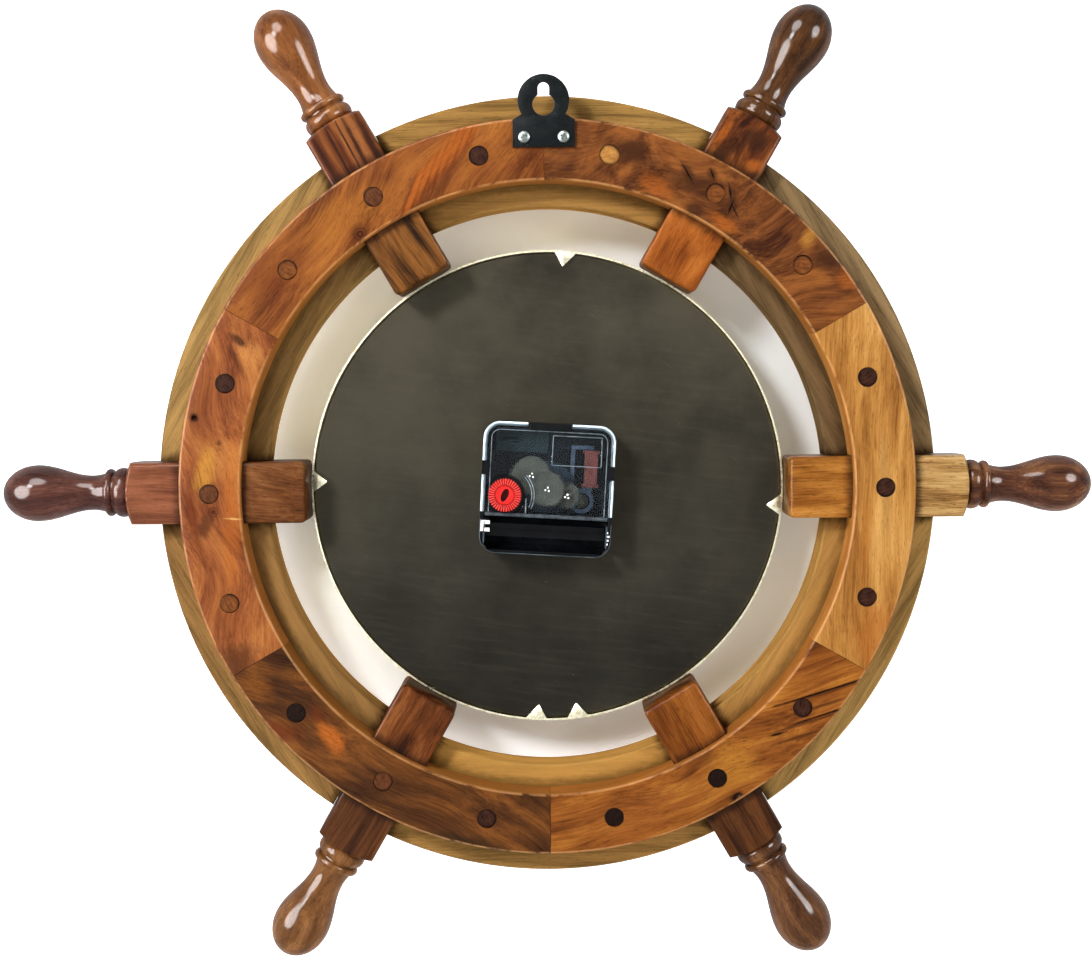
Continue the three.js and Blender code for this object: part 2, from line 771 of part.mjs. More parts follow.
function movementBase() {
  const outline = roundedSquare(caseSize, caseCorner);
  const wallBack = coverInside + fit;
  const dividerMiddle = dividerTop - bayDivider / 2;
  const upper = cut(plate(outline, wallBack, caseFront, cornerFacets), belowLine(dividerMiddle));
  const lower = common(plate(outline, coverBack, caseFront, cornerFacets), belowLine(dividerTop));
  const inset = roundedSquare(2 * caseInside, caseCorner - caseWall);
  const chamber = cut(plate(inset, 0, floorInside, cornerFacets), belowLine(dividerTop));
  const shelfFront = wallBack + shelfThickness;
  const shelfEnd = caseHalf - caseWall / 2;
  const shelfCorner = block(knobPlace.x, shelfEnd, wallBack, shelfFront, dividerMiddle, knobPlace.y);
  const shelf = join(rod(knobPlace, wellRadius - fit, wallBack, shelfFront, 2 * smallFacets), shelfCorner);
  const shaftHole = rod(knobPlace, around(hubRadius + fit, smallFacets), 0, floorInside);
  const shelfInside = common(shelf, plate(outline, 0, caseFront, cornerFacets));
  const tray = join(cut(join(upper, lower), chamber), cut(shelfInside, shaftHole, belowLine(bayTop)));
  const bush = rod(axis, bushRadius, floorInside, bushFront, dowelFacets);
  const bore = rod(axis, around(bushBore, dowelFacets), 0, bushFront + fit, dowelFacets);
  return cut(join(tray, bush, ...clips.map(clip)), bore, batteryBay());
}

// Clear cover over the wheels, with a raised rim, a bare label frame and the pivots' holes
function movementCover() {
  const outline = roundedSquare(caseSize, caseCorner);
  const rimInside = roundedSquare(caseSize - 2 * coverRimWidth, caseCorner - coverRimWidth);
  const rimBack = coverBack - coverRimRise;
  const edge = dividerTop + fit;
  const inside = plate(rimInside, 0, coverBack, cornerFacets);
  const rim = cut(plate(outline, rimBack, coverInside, cornerFacets), inside);
  const frameBlock = (width, height, back, front) => {
    const centred = block(-width / 2, width / 2, back, front, -height / 2, height / 2);
    return centred.translate(labelFrameX, 0, labelFrameZ);
  };
  const frameOuter = frameBlock(labelFrameWidth, labelFrameHeight, rimBack, coverInside);
  const lines = 2 * labelFrameLine;
  const frameInner = frameBlock(labelFrameWidth - lines, labelFrameHeight - lines, 0, coverBack);
  const well = rod(knobPlace, around(wellRadius, 2 * smallFacets), 0, coverInside + fit, 2 * smallFacets);
  const pivots = [axis, thirdPlace, intermediatePlace, rotorPlace].map((place) =>
    rod(place, around(arborRadius + fit, smallFacets), 0, coverInside + fit));
  const body = join(rim, cut(frameOuter, frameInner));
  return cut(body, belowLine(edge), well, ...pivots, ...clips.map(clipNotch));
}

// Middle plate on three legs, which carries the pivots between the train and the motion work
function middlePlate() {
  const legReach = tipRadius(hourModule, hourTeeth) + runningGap + postRadius;
  const radius = legReach + postRadius;
  const back = levelBack(plateLevel);
  const front = levelFront(plateLevel);
  const legs = postAngles.map((angle) => rod(polar(legReach, angle), postRadius, back, arborFront));
  const pivots = [thirdPlace, intermediatePlace, minutePlace].map((place) =>
    rod(place, around(arborRadius + fit, smallFacets), 0, front + fit));
  const hole = rod(axis, around(minuteTubeRadius + fit, dowelFacets), 0, front + fit, dowelFacets);
  const body = join(rod(axis, radius, back, front, 3 * smallFacets), ...legs);
  return cut(body, hole, ...pivots, belowLine(dividerTop + fit));
}

add(movement, "movement_base", movementBase(), caseBlack);
add(movement, "movement_cover", movementCover(), smokyCover);
add(movement, "middle_plate", middlePlate(), caseBlack);

// Going train: each wheel has its pinion and arbor in one piece
const intermediatePinionPhase = meshPhase(secondTeeth, 0, intermediateAngle, intermediatePinionTeeth);
const rotorPhase = meshPhase(intermediateTeeth, 0, rotorAngle, rotorTeeth);
const thirdPhase = meshPhase(secondPinionTeeth, 0, thirdAngle, thirdTeeth);
const centrePhase = meshPhase(thirdPinionTeeth, 0, thirdAngle + 180, centreTeeth);
const minutePhase = meshPhase(cannonTeeth, 0, minuteWheelAngle, minuteTeeth);
const hourPhase = meshPhase(minutePinionTeeth, 0, minuteWheelAngle + 180, hourTeeth);
const knobPhase = meshPhase(minuteTeeth, minutePhase, knobAngle, knobTeeth);

function wheelAt(place, module, teeth, phase, level) {
  return gear(place, module, teeth, phase, levelBack(level), levelFront(level));
}

// A pinion overlaps its partner's level a little on both sides
function pinionAt(place, module, teeth, phase, level) {
  return gear(place, module, teeth, phase, levelBack(level) - fit, levelFront(level) + fit);
}

function secondWheel() {
  const shaftEnd = secondHandBack + handThickness;
  return join(
    wheelAt(axis, secondModule, secondTeeth, 0, secondLevel),
    gear(axis, thirdModule, secondPinionTeeth, 0, levelBack(secondLevel), levelFront(thirdLevel) + fit),
    rod(axis, secondShaftRadius, pivotEnd, shaftEnd),
  );
}

function thirdWheel() {
  const pinionFront = levelFront(centreLevel) + fit;
  return join(
    wheelAt(thirdPlace, thirdModule, thirdTeeth, thirdPhase, thirdLevel),
    gear(thirdPlace, centreModule, thirdPinionTeeth, 0, levelBack(thirdLevel), pinionFront),
    rod(thirdPlace, arborRadius, pivotEnd, levelFront(plateLevel)),
  );
}

function intermediateWheel() {
  return join(
    wheelAt(intermediatePlace, rotorModule, intermediateTeeth, 0, intermediateLevel),
    gear(intermediatePlace, secondModule, intermediatePinionTeeth, intermediatePinionPhase,
      levelBack(secondLevel) - fit, levelFront(intermediateLevel)),
    rod(intermediatePlace, arborRadius, pivotEnd, levelFront(plateLevel)),
  );
}

function rotor() {
  const magnetBack = levelBack(minuteLevel) - magnetOver;
  const magnetFront = levelFront(minuteLevel) + magnetOver;
  return join(
    pinionAt(rotorPlace, rotorModule, rotorTeeth, rotorPhase, intermediateLevel),
    rod(rotorPlace, magnetRadius, magnetBack, magnetFront, dowelFacets),
    rod(rotorPlace, arborRadius, pivotEnd, arborFront),
  );
}

function centreWheel() {
  const bore = rod(axis, around(minuteTubeRadius + fit, dowelFacets), 0, floorInside, dowelFacets);
  return cut(wheelAt(axis, centreModule, centreTeeth, centrePhase, centreLevel), bore);
}

// Motion work: cannon pinion with its tube, minute wheel, and hour wheel with its tube
function cannonPinion() {
  const back = levelBack(centreLevel) - fit;
  const front = minuteHandBack + handThickness + fit;
  const tube = rod(axis, minuteTubeRadius, back, front, dowelFacets);
  const bore = rod(axis, around(minuteTubeBore, smallFacets), 0, front + fit);
  return cut(join(tube, pinionAt(axis, motionModule, cannonTeeth, 0, minuteLevel)), bore);
}

function minuteWheel() {
  const pinionFront = levelFront(hourLevel) + fit;
  return join(
    wheelAt(minutePlace, motionModule, minuteTeeth, minutePhase, minuteLevel),
    gear(minutePlace, hourModule, minutePinionTeeth, 0, levelBack(minuteLevel), pinionFront),
    rod(minutePlace, arborRadius, levelBack(plateLevel), arborFront),
  );
}

function hourWheel() {
  const front = hourHandBack + handThickness + fit;
  const tube = rod(axis, hourTubeRadius, levelBack(hourLevel), front, dowelFacets);
  const bore = rod(axis, around(hourTubeBore, dowelFacets), 0, front + fit, dowelFacets);
  return cut(join(wheelAt(axis, hourModule, hourTeeth, hourPhase, hourLevel), tube), bore);
}

// Red knob with a ridged edge and a slot, on the shaft that turns the minute wheel
function settingKnob() {
  const front = coverInside;
  const back = front - knobThickness;
  const points = [];
  for (let i = 0; i < 2 * knobRidges; i++) {
    const radius = i % 2 ? knobRadius : knobRadius - knobRidgeDepth;
    points.push(polar(radius, (180 * i) / knobRidges));
  }
  const head = plate(new THREE.Shape(points), back, front).translate(knobPlace.x, 0, knobPlace.y);
  const slot = block(
    knobPlace.x - knobSlotWidth / 2, knobPlace.x + knobSlotWidth / 2, 0, back + knobSlotDepth,
    knobPlace.y - knobSlotLength / 2, knobPlace.y + knobSlotLength / 2);
  return join(
    cut(head, slot),
    rod(knobPlace, hubRadius, back + knobSlotDepth, arborFront),
    pinionAt(knobPlace, motionModule, knobTeeth, knobPhase, minuteLevel),
  );
}

add(movement, "second_wheel", secondWheel(), wheelPlastic);
add(movement, "third_wheel", thirdWheel(), wheelPlastic);
add(movement, "intermediate_wheel", intermediateWheel(), wheelPlastic);
add(movement, "rotor", rotor(), wheelPlastic);
add(movement, "centre_wheel", centreWheel(), wheelPlastic);
add(movement, "cannon_pinion", cannonPinion(), brass);
add(movement, "minute_wheel", minuteWheel(), wheelPlastic);
add(movement, "hour_wheel", hourWheel(), wheelPlastic);
add(movement, "setting_knob", settingKnob(), knobRed);

// Motor: the stator's core runs through the coil and its ring stands round the rotor's magnet
const statorBack = levelBack(minuteLevel);
const statorFront = levelFront(minuteLevel);
const coilHalfDepth = arborFront - (statorBack + statorFront) / 2;
const coilBottom = coilZ - coilLength / 2 - coilFlange;
const coilTop = coilZ + coilLength / 2 + coilFlange;
const ringRadius = magnetRadius + 2 * fit + statorRing;

function stator() {
  const bar = (x0, x1, z0, z1) => block(x0, x1, statorBack, statorFront, z0, z1);
  const coreLeft = coilX - coreWidth / 2;
  const coreRight = coilX + coreWidth / 2;
  const lowArm = coilBottom - fit;
  const highArm = coilTop + fit;
  const armRight = rotorPlace.x + ringRadius;
  const ring = rod(rotorPlace, ringRadius, statorBack, statorFront, 2 * smallFacets);
  const hole = rod(rotorPlace, magnetRadius + 2 * fit, 0, caseFront, 2 * smallFacets);
  const body = join(
    ring,
    bar(coreLeft, coreRight, lowArm - coreWidth, highArm + coreWidth),
    bar(coreLeft, rotorPlace.x, lowArm - coreWidth, lowArm),
    bar(coreLeft, armRight, highArm, highArm + coreWidth),
    bar(armRight - coreWidth, armRight, rotorPlace.y, highArm + coreWidth),
  );
  return cut(body, hole);
}

function coil() {
  const wide = coilWidth / 2;
  const edge = wide + coilFlangeRise;
  const middle = (statorBack + statorFront) / 2;
  const deep = coilHalfDepth - coilFlangeRise;
  const flange = (z) =>
    block(coilX - edge, coilX + edge, middle - coilHalfDepth, middle + coilHalfDepth, z, z + coilFlange);
  const winding = block(coilX - wide, coilX + wide, middle - deep, middle + deep, coilBottom, coilTop);
  const bore = block(
    coilX - coreWidth / 2 - fit, coilX + coreWidth / 2 + fit, statorBack - fit, statorFront + fit,
    coilBottom - fit, coilTop + fit);
  return cut(join(winding, flange(coilBottom), flange(coilTop - coilFlange)), bore);
}

function circuitBoard() {
  const front = arborFront;
  const back = front - circuitSheet;
  const x0 = circuitX - circuitWidth / 2;
  const z0 = circuitZ - circuitHeight / 2;
  const sheet = block(x0, x0 + circuitWidth, back, front, z0, z0 + circuitHeight);
  const chipZ = circuitZ - chipSize / 2;
  const chip = block(circuitX - chipSize, circuitX, back - circuitSheet, front, chipZ, chipZ + chipSize);
  const can = new THREE.CylinderGeometry(crystalRadius, crystalRadius, crystalLength, smallFacets);
  can.rotateZ(Math.PI / 2).translate(circuitX + crystalLength / 2 + crystalRadius, -back, circuitZ);
  return join(sheet, chip, cut(can, block(0, caseSize, front, caseSize, 0, caseSize)));
}

// Battery contact: a strip on the bay's end wall with a lip over the wall's edge
function batteryContact() {
  const face = bayLength / 2 - fit - contactSheet;
  const middle = (bayTop + bayBottom) / 2;
  const z0 = middle - contactWidth / 2;
  const z1 = middle + contactWidth / 2;
  const lipFront = coverBack - fit;
  const lipBack = lipFront - contactSheet;
  const strip = block(face, face + contactSheet, lipBack, floorInside - bayHeight / 2, z0, z1);
  const lip = block(face, face + contactLip, lipBack, lipFront, z0, z1);
  return join(strip, lip);
}

add(movement, "stator", stator(), steel);
add(movement, "coil", coil(), copper);
add(movement, "circuit_board", circuitBoard(), boardGreen);
add(movement, "battery_contact_1", batteryContact(), steel);
add(movement, "battery_contact_2", batteryContact().mirror([1, 0, 0]), steel);

// Nut on the bush, and the hands on their tubes
function mountingNut() {
  const back = dialFront + fit;
  const nut = rod(axis, around(nutWidth / 2, nutSides), back, back + nutThickness, nutSides);
  const bore = rod(axis, around(bushRadius + fit, dowelFacets), 0, bezelFront, dowelFacets);
  return cut(nut, bore);
}

// A tapered hand that points to twelve, with a hub round its tube
function hand(length, width, back, tubeRadius) {
  const front = back + handThickness;
  const middleHalf = width / 2;
  const tailHalf = middleHalf * handTailShare;
  const tipHalf = middleHalf * handTipShare;
  const shape = new THREE.Shape();
  shape.moveTo(-middleHalf, 0);
  shape.lineTo(-tailHalf, -handTail);
  shape.lineTo(tailHalf, -handTail);
  shape.lineTo(middleHalf, 0);
  shape.lineTo(tipHalf, length);
  shape.lineTo(-tipHalf, length);
  const hub = rod(axis, tubeRadius + fit + handHubWall, back - fit, front, dowelFacets);
  const bore = rod(axis, around(tubeRadius + fit, dowelFacets), 0, front + fit, dowelFacets);
  return cut(join(plate(shape, back, front), hub), bore);
}

add(movement, "mounting_nut", mountingNut(), brass);
const hourHand = hand(hourHandLength, hourHandWidth, hourHandBack, hourTubeRadius);
const minuteHand = hand(minuteHandLength, minuteHandWidth, minuteHandBack, minuteTubeRadius);
const secondHand = hand(secondHandLength, secondHandWidth, secondHandBack, secondShaftRadius);
add(wheel, "hour_hand", hourHand, handBlack);
add(wheel, "minute_hand", minuteHand, handBlack);
add(wheel, "second_hand", secondHand, handBlack);

wheel.position.z = -nailHeight;
const clock = new THREE.Group();
clock.add(wheel);

export default clock;
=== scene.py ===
"""Looks of a ship wheel wall clock, seen from the back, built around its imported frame."""

import math

import bmesh
import bpy
from mathutils import Matrix, Vector


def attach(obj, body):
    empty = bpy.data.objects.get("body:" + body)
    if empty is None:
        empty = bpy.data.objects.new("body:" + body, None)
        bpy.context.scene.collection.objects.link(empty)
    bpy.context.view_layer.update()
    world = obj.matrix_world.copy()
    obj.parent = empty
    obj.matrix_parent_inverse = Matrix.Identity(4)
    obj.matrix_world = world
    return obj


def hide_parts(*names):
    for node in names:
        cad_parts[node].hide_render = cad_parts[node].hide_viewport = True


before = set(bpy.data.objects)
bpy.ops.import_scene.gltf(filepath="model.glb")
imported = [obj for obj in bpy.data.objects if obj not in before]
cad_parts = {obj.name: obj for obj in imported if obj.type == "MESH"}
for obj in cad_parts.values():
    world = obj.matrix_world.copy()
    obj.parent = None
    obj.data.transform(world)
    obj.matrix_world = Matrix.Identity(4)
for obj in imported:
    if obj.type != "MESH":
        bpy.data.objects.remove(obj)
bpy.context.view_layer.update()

# Lengths of the clock are millimetres, and those of stage, lamps and camera metres. A depth counts from the
# rear rim's back towards the dial, so a depth d lies at y = -d. An angle is in degrees and counts
# anticlockwise as seen from the dial side, with 0 along +X.
MM = 0.001
FIT = 0.3
AXIS_HEIGHT = -163.4
ROUND_STEPS = 180
PINHOLE = 0.01
SPOKE_ANGLES = (0, 60, 120, 180, 240, 300)

# Rims, the zone on the front rim with another tint that is partly painted light and shade, and the reach of
# the slots cut for the spokes
REAR_INNER, REAR_OUTER, REAR_FRONT = 126.5, 152.0, 14.0
FRONT_INNER, FRONT_OUTER = 117.5, 162.7
FRONT_BACK, FRONT_FRONT, FRONT_ROUND, FRONT_BREAK = 14.3, 34.0, 5.0, 0.8
EDGE_BREAK = 1.2
JOINT_BREAK, JOINT_GAP = 0.15, 0.05
INNER_ZONE, INNER_ZONE_END = 124, 136
CUT_INNER, CUT_OUTER, CUT_BACK, CUT_FRONT = 60, 200, -10, 60
GOUGE_DEPTH = 1.6

# Spokes with their turned handles, and dowels
SPOKE_HALF, SPOKE_BACK, SPOKE_FRONT = 12.7, 4.0, 29.4
SPOKE_MIDDLE = SPOKE_BACK + SPOKE_HALF
SPOKE_INNER, BLOCK_END = 100.3, 174.6
SPOKE_CORNER, SHOULDER = 1.3, 2.5
END_LENGTH, END_DROP = 2.2, 1.5
GROOVE_RADIUS, BEAD_RADIUS, COLLAR_RADIUS = 8.4, 10.4, 10.0
BLOCK_GROOVE, BEAD_LENGTH, GROOVE_LENGTH, COLLAR_LENGTH = 0.6, 6.0, 0.7, 3.2
NECK_RADIUS, FLARE_LENGTH = 7.3, 5.9
BULB_RADIUS, TAPER_LENGTH, TIP_LENGTH = 11.9, 23.0, 14.6
DOWEL_CIRCLE, DOWEL_RADIUS, RIM_DOWEL_ANGLE = 139.25, 4.0, 19.0
SPOKE_DOWEL_FRONT, RIM_DOWEL_FRONT = 25.4, 29.7

# Bezel, dial board, dial, spacer and glass
BEZEL_RADIUS, BEZEL_SHEET, BEZEL_BACK, BEZEL_FRONT = 100.0, 0.8, 22.4, 44.4
BEZEL_ROLL, LIP_EDGE, LIP_DROP = 5.0, 88.0, 3.0
TAB_ANGLES = (95, 2, 184.7, 273.3, 263)
TAB_WIDTH, TAB_REACH, TAB_SHEET, TAB_CURL, TAB_RIDGE = 9.0, 6.0, 0.5, 0.5, 0.55
BOARD_RADIUS, BOARD_BACK, BOARD_FRONT = 98.8, 23.3, 27.8
DIAL_RADIUS, DIAL_BACK, DIAL_FRONT = 97.8, 28.1, 28.6
BORE_RADIUS = 4.6
TRACK_INNER, TRACK_OUTER, TRACK_LINE = 79.0, 84.5, 0.5
NUMBER_CIRCLE, NUMBER_SIZE, INK_RISE = 66, 19, 0.06
SPACER_INNER, SPACER_OUTER, SPACER_BACK, SPACER_FRONT = 96.9, 98.9, 28.9, 38.0
GLASS_RADIUS, GLASS_BACK, GLASS_FRONT = 98.6, 38.3, 40.3

# Hanger plate and its screws
HANGER_BACK, HANGER_FRONT, HANGER_BEVEL = -1.6, -0.3, 0.15
HANGER_BOTTOM, HANGER_SHOULDER, HANGER_HALF = 139.7, 150.7, 12.6
HEAD_HEIGHT, HEAD_RADIUS, NECK_TURN = 158.5, 10.5, 32
KEYHOLE_HEIGHT, KEYHOLE_RADIUS, SLOT_HALF, SLOT_TOP = 156.8, 4.5, 2.3, 165.7
SCREW_HEIGHT, SCREW_SIDE, SCREW_TIP = 143.7, 8.0, 8.0
SCREW_HEAD, SCREW_RISE, SCREW_EDGE, SCREW_SHANK = 2.5, 1.3, 0.35, 1.6
CROSS_REACH, CROSS_HALF, CROSS_DEPTH = 1.35, 0.28, 0.8

# Back of the movement, turned a little on its axis
CASE_TURN = 3.5
CASE_HALF, CASE_CORNER, COVER_EDGE = 27.5, 7.0, -10.3
BASE_BACK, COVER_BACK, COVER_INSIDE, RIM_BACK = 6.0, 7.6, 9.0, 7.0
LINE_INSET, LINE_WIDTH, LINE_RISE = 3.4, 0.3, 0.25
CLIP_HALF, SIDE_CLIP_HALF, SIDE_CLIP_HEIGHT = 8.6, 2.0, 8.0
KNOB_X, KNOB_Z, KNOB_RADIUS, KNOB_BACK, KNOB_RIDGES = 17.51, -3.16, 7.0, 5.5, 36
RIDGE_NOTCH, RIDGE_INNER, WELL_OUTER, WELL_INNER, WELL_DEPTH = 0.45, 4.4, 4.2, 3.8, 0.6
BOSS_RADIUS, BOSS_DEPTH = 3.6, 0.25
SHAFT_RADIUS, SHAFT_FRONT = 1.3, 21.2
SLOT_LENGTH, SLOT_WIDTH, SLOT_TURN = 5.8, 3.0, 110
WELL_HIGHLIGHTS = (11.2, 12.2)
FRAME_X, FRAME_Z, FRAME_WIDTH, FRAME_HEIGHT = -11.6, 16.4, 20.4, 12.3
PIVOTS = ((0.0, 0.0), (6.8, 5.5), (-8.3, -2.52))
DIVIDER_HALF, DIVIDER_HEIGHT, DIVIDER_WIDTH = 25.5, -11.3, 1.5
CONTACT_INNER, CONTACT_OUTER, CONTACT_LOW, CONTACT_HIGH = 25.3, 25.8, -23.35, -14.35
CONTACT_BACK, LIP_FRONT, CONTACT_FRONT = 6.8, 7.3, 14.25
HOOKED_LIP = ((25.6, 27.3, -18.6, -14.0), (23.2, 25.6, -15.5, -14.0), (23.2, 25.6, -18.6, -17.1))
TORN_LIP = tuple((25.6, 26.2 + 0.35 * (k % 3), -22.0 + 1.6 * k, -21.2 + 1.6 * k) for k in range(4))

# Stage and camera
STAGE_SIZE, FLOOR, SHEET_Y = 4.0, -0.47, -0.0452
# The sheet's glow, painted shade in the wheel's gaps and painted light outside, centres a little off the
# axis
GLOW_X, GLOW_Z, GAP_GLOW, SHEET_GLOW = -0.009, AXIS_HEIGHT * MM + 0.007, 0.1, 0.9
PICTURE_WIDTH, SHIFT_X, SHIFT_Y = 1091, -1.8, 9.2
SENSOR, LENS, CAMERA_ROLL = 36.0, 56.28, -0.57
CAMERA_AWAY, CAMERA_RISE, AIM_Y = 0.700, 0.047, -0.010


# Shapes, as vertices and faces in millimetres
def polar(radius, angle):
    """A point [x, z] at a radius and an angle in degrees."""
    return radius * math.cos(math.radians(angle)), radius * math.sin(math.radians(angle))


def arc(centre, radius, start, end, steps):
    """Points on an arc of a section, angles in degrees."""
    points = []
    for i in range(steps + 1):
        x, y = polar(radius, start + (end - start) * i / steps)
        points.append((centre[0] + x, centre[1] + y))
    return points


def loft(rings, closed=False):
    """Faces between closed rings of points, capped at both ends unless the rings close up."""
    size = len(rings[0])
    vertices = [point for ring in rings for point in ring]
    faces = []
    last = len(rings) if closed else len(rings) - 1
    for i in range(last):
        here, there = i * size, ((i + 1) % len(rings)) * size
        for k in range(size):
            n = (k + 1) % size
            faces.append((here + k, here + n, there + n, there + k))
    if not closed:
        faces.append(tuple(range(size))[::-1])
        faces.append(tuple(range((len(rings) - 1) * size, len(rings) * size)))
    return vertices, faces


def swept(section, angles):
    """A section of [radius, depth] points at each angle round the wheel's axis."""
    rings = []
    for angle in angles:
        c, s = polar(1, angle)
        rings.append([(radius * c, -depth, radius * s) for radius, depth in section])
    return rings


def turned(section, steps=ROUND_STEPS):
    """A closed section of [radius, depth] points turned about the wheel's axis."""
    return loft(swept(section, [360 * i / steps for i in range(steps)]), closed=True)


def disc_form(radius, back, front, edge, bore=PINHOLE):
    """A round plate with broken edges."""
    section = [(radius - edge, front), (radius, front - edge), (radius, back + edge), (radius - edge, back)]
    return turned([*section, (bore, back), (bore, front)])


def box_form(x0, x1, d0, d1, z0, z1):
    corner = [(x0, z0), (x1, z0), (x1, z1), (x0, z1)]
    return loft([[(x, -d, z) for x, z in corner] for d in (d0, d1)])


def rod_form(x, z, radius, d0, d1, steps=40):
    """A round rod along Y about a point [x, z]."""
    outline = arc((x, z), radius, 0, 360, steps)[:-1]
    return loft([[(u, -depth, v) for u, v in outline] for depth in (d0, d1)])


def strip(path, width, back, front):
    """A flat bar with broken rear edges along a path of [x, z] points."""
    half, e = width / 2, min(width * 0.3, (front - back) * 0.4)
    side = [(half, back + e), (half, front)]
    section = [(-k, depth) for k, depth in side[::-1]] + [(e - half, back), (half - e, back)] + side
    rings = []
    for i, (x, z) in enumerate(path):
        (x0, z0), (x1, z1) = path[max(i - 1, 0)], path[min(i + 1, len(path) - 1)]
        reach = math.hypot(x1 - x0, z1 - z0)
        u, v = (z0 - z1) / reach, (x1 - x0) / reach
        rings.append([(x + u * k, -depth, z + v * k) for k, depth in section])
    return loft(rings)


def rotated(form, turn):
    vertices, faces = form
    matrix = Matrix.Rotation(-math.radians(turn), 3, "Y")
    return [tuple(matrix @ Vector(point)) for point in vertices], faces


def joined(*forms):
    vertices, faces = [], []
    for more, sides in forms:
        start = len(vertices)
        vertices += list(more)
        faces += [tuple(start + k for k in side) for side in sides]
    return vertices, faces


# Meshes and pieces, in metres
def to_mesh(name, form, sharp=35):
    """A mesh from a shape, with edges sharper than an angle kept sharp."""
    mesh = bpy.data.meshes.new(name)
    vertices, faces = form
    mesh.from_pydata([Vector(point) * MM for point in vertices], [], faces)
    shade(mesh, sharp)
    return mesh


def shade(mesh, sharp):
    bm = bmesh.new()
    bm.from_mesh(mesh)
    bmesh.ops.remove_doubles(bm, verts=bm.verts, dist=1e-6)
    bmesh.ops.dissolve_degenerate(bm, edges=bm.edges, dist=1e-7)
    bmesh.ops.recalc_face_normals(bm, faces=bm.faces)
    for face in bm.faces:
        face.smooth = True
    for edge in bm.edges:
        edge.smooth = len(edge.link_faces) == 2 and edge.calc_face_angle() < math.radians(sharp)
    bm.to_mesh(mesh)
    bm.free()


def wheel_frame(turn=0.0):
    """The wheel's axis, with +X turned to an angle."""
    return Matrix.Translation((0, 0, AXIS_HEIGHT * MM)) @ Matrix.Rotation(-math.radians(turn), 4, "Y")


def link(name, data):
    """A new object in the scene."""
    item = bpy.data.objects.new(name, data)
    bpy.context.scene.collection.objects.link(item)
    return item


def add(name, shape, materials, place, nodes=(), body="clock_body", sharp=35):
    """A new piece on a body, from a shape or a mesh, with the nodes of the frame that it stands for."""
    mesh = to_mesh(name, shape, sharp) if isinstance(shape, tuple) else shape
    piece = link(name, mesh)
    piece.matrix_world = place
    mesh.materials.clear()
    for material in materials:
        mesh.materials.append(material)
    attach(piece, body)
    if nodes:
        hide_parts(*nodes)
    return piece


def baked(piece):
    """The piece's mesh with its modifiers applied. The piece itself goes."""
    bpy.context.view_layer.update()
    seen = piece.evaluated_get(bpy.context.evaluated_depsgraph_get())
    mesh = bpy.data.meshes.new_from_object(seen)
    bpy.data.objects.remove(piece)
    return mesh


def carved(form, cutters, sharp=35):
    """The mesh of a shape with other shapes cut out of it."""
    block = link("block", to_mesh("block", form, sharp))
    tools = []
    for cutter in cutters:
        tool = link("tool", to_mesh("tool", cutter))
        tools.append(tool)
        cut = block.modifiers.new("cut", "BOOLEAN")
        cut.operation = "DIFFERENCE"
        cut.solver = "EXACT"
        cut.object = tool
    result = baked(block)
    for tool in tools:
        bpy.data.objects.remove(tool)
    result.materials.clear()
    shade(result, sharp)
    return result


# Materials. A colour of three numbers is a screen colour from 0 to 255.
def rgb(*colour):
    """The linear colour that a shader takes."""
    shares = [value / 255 for value in colour]
    return (*[s / 12.92 if s <= 0.04045 else ((s + 0.055) / 1.055) ** 2.4 for s in shares], 1.0)


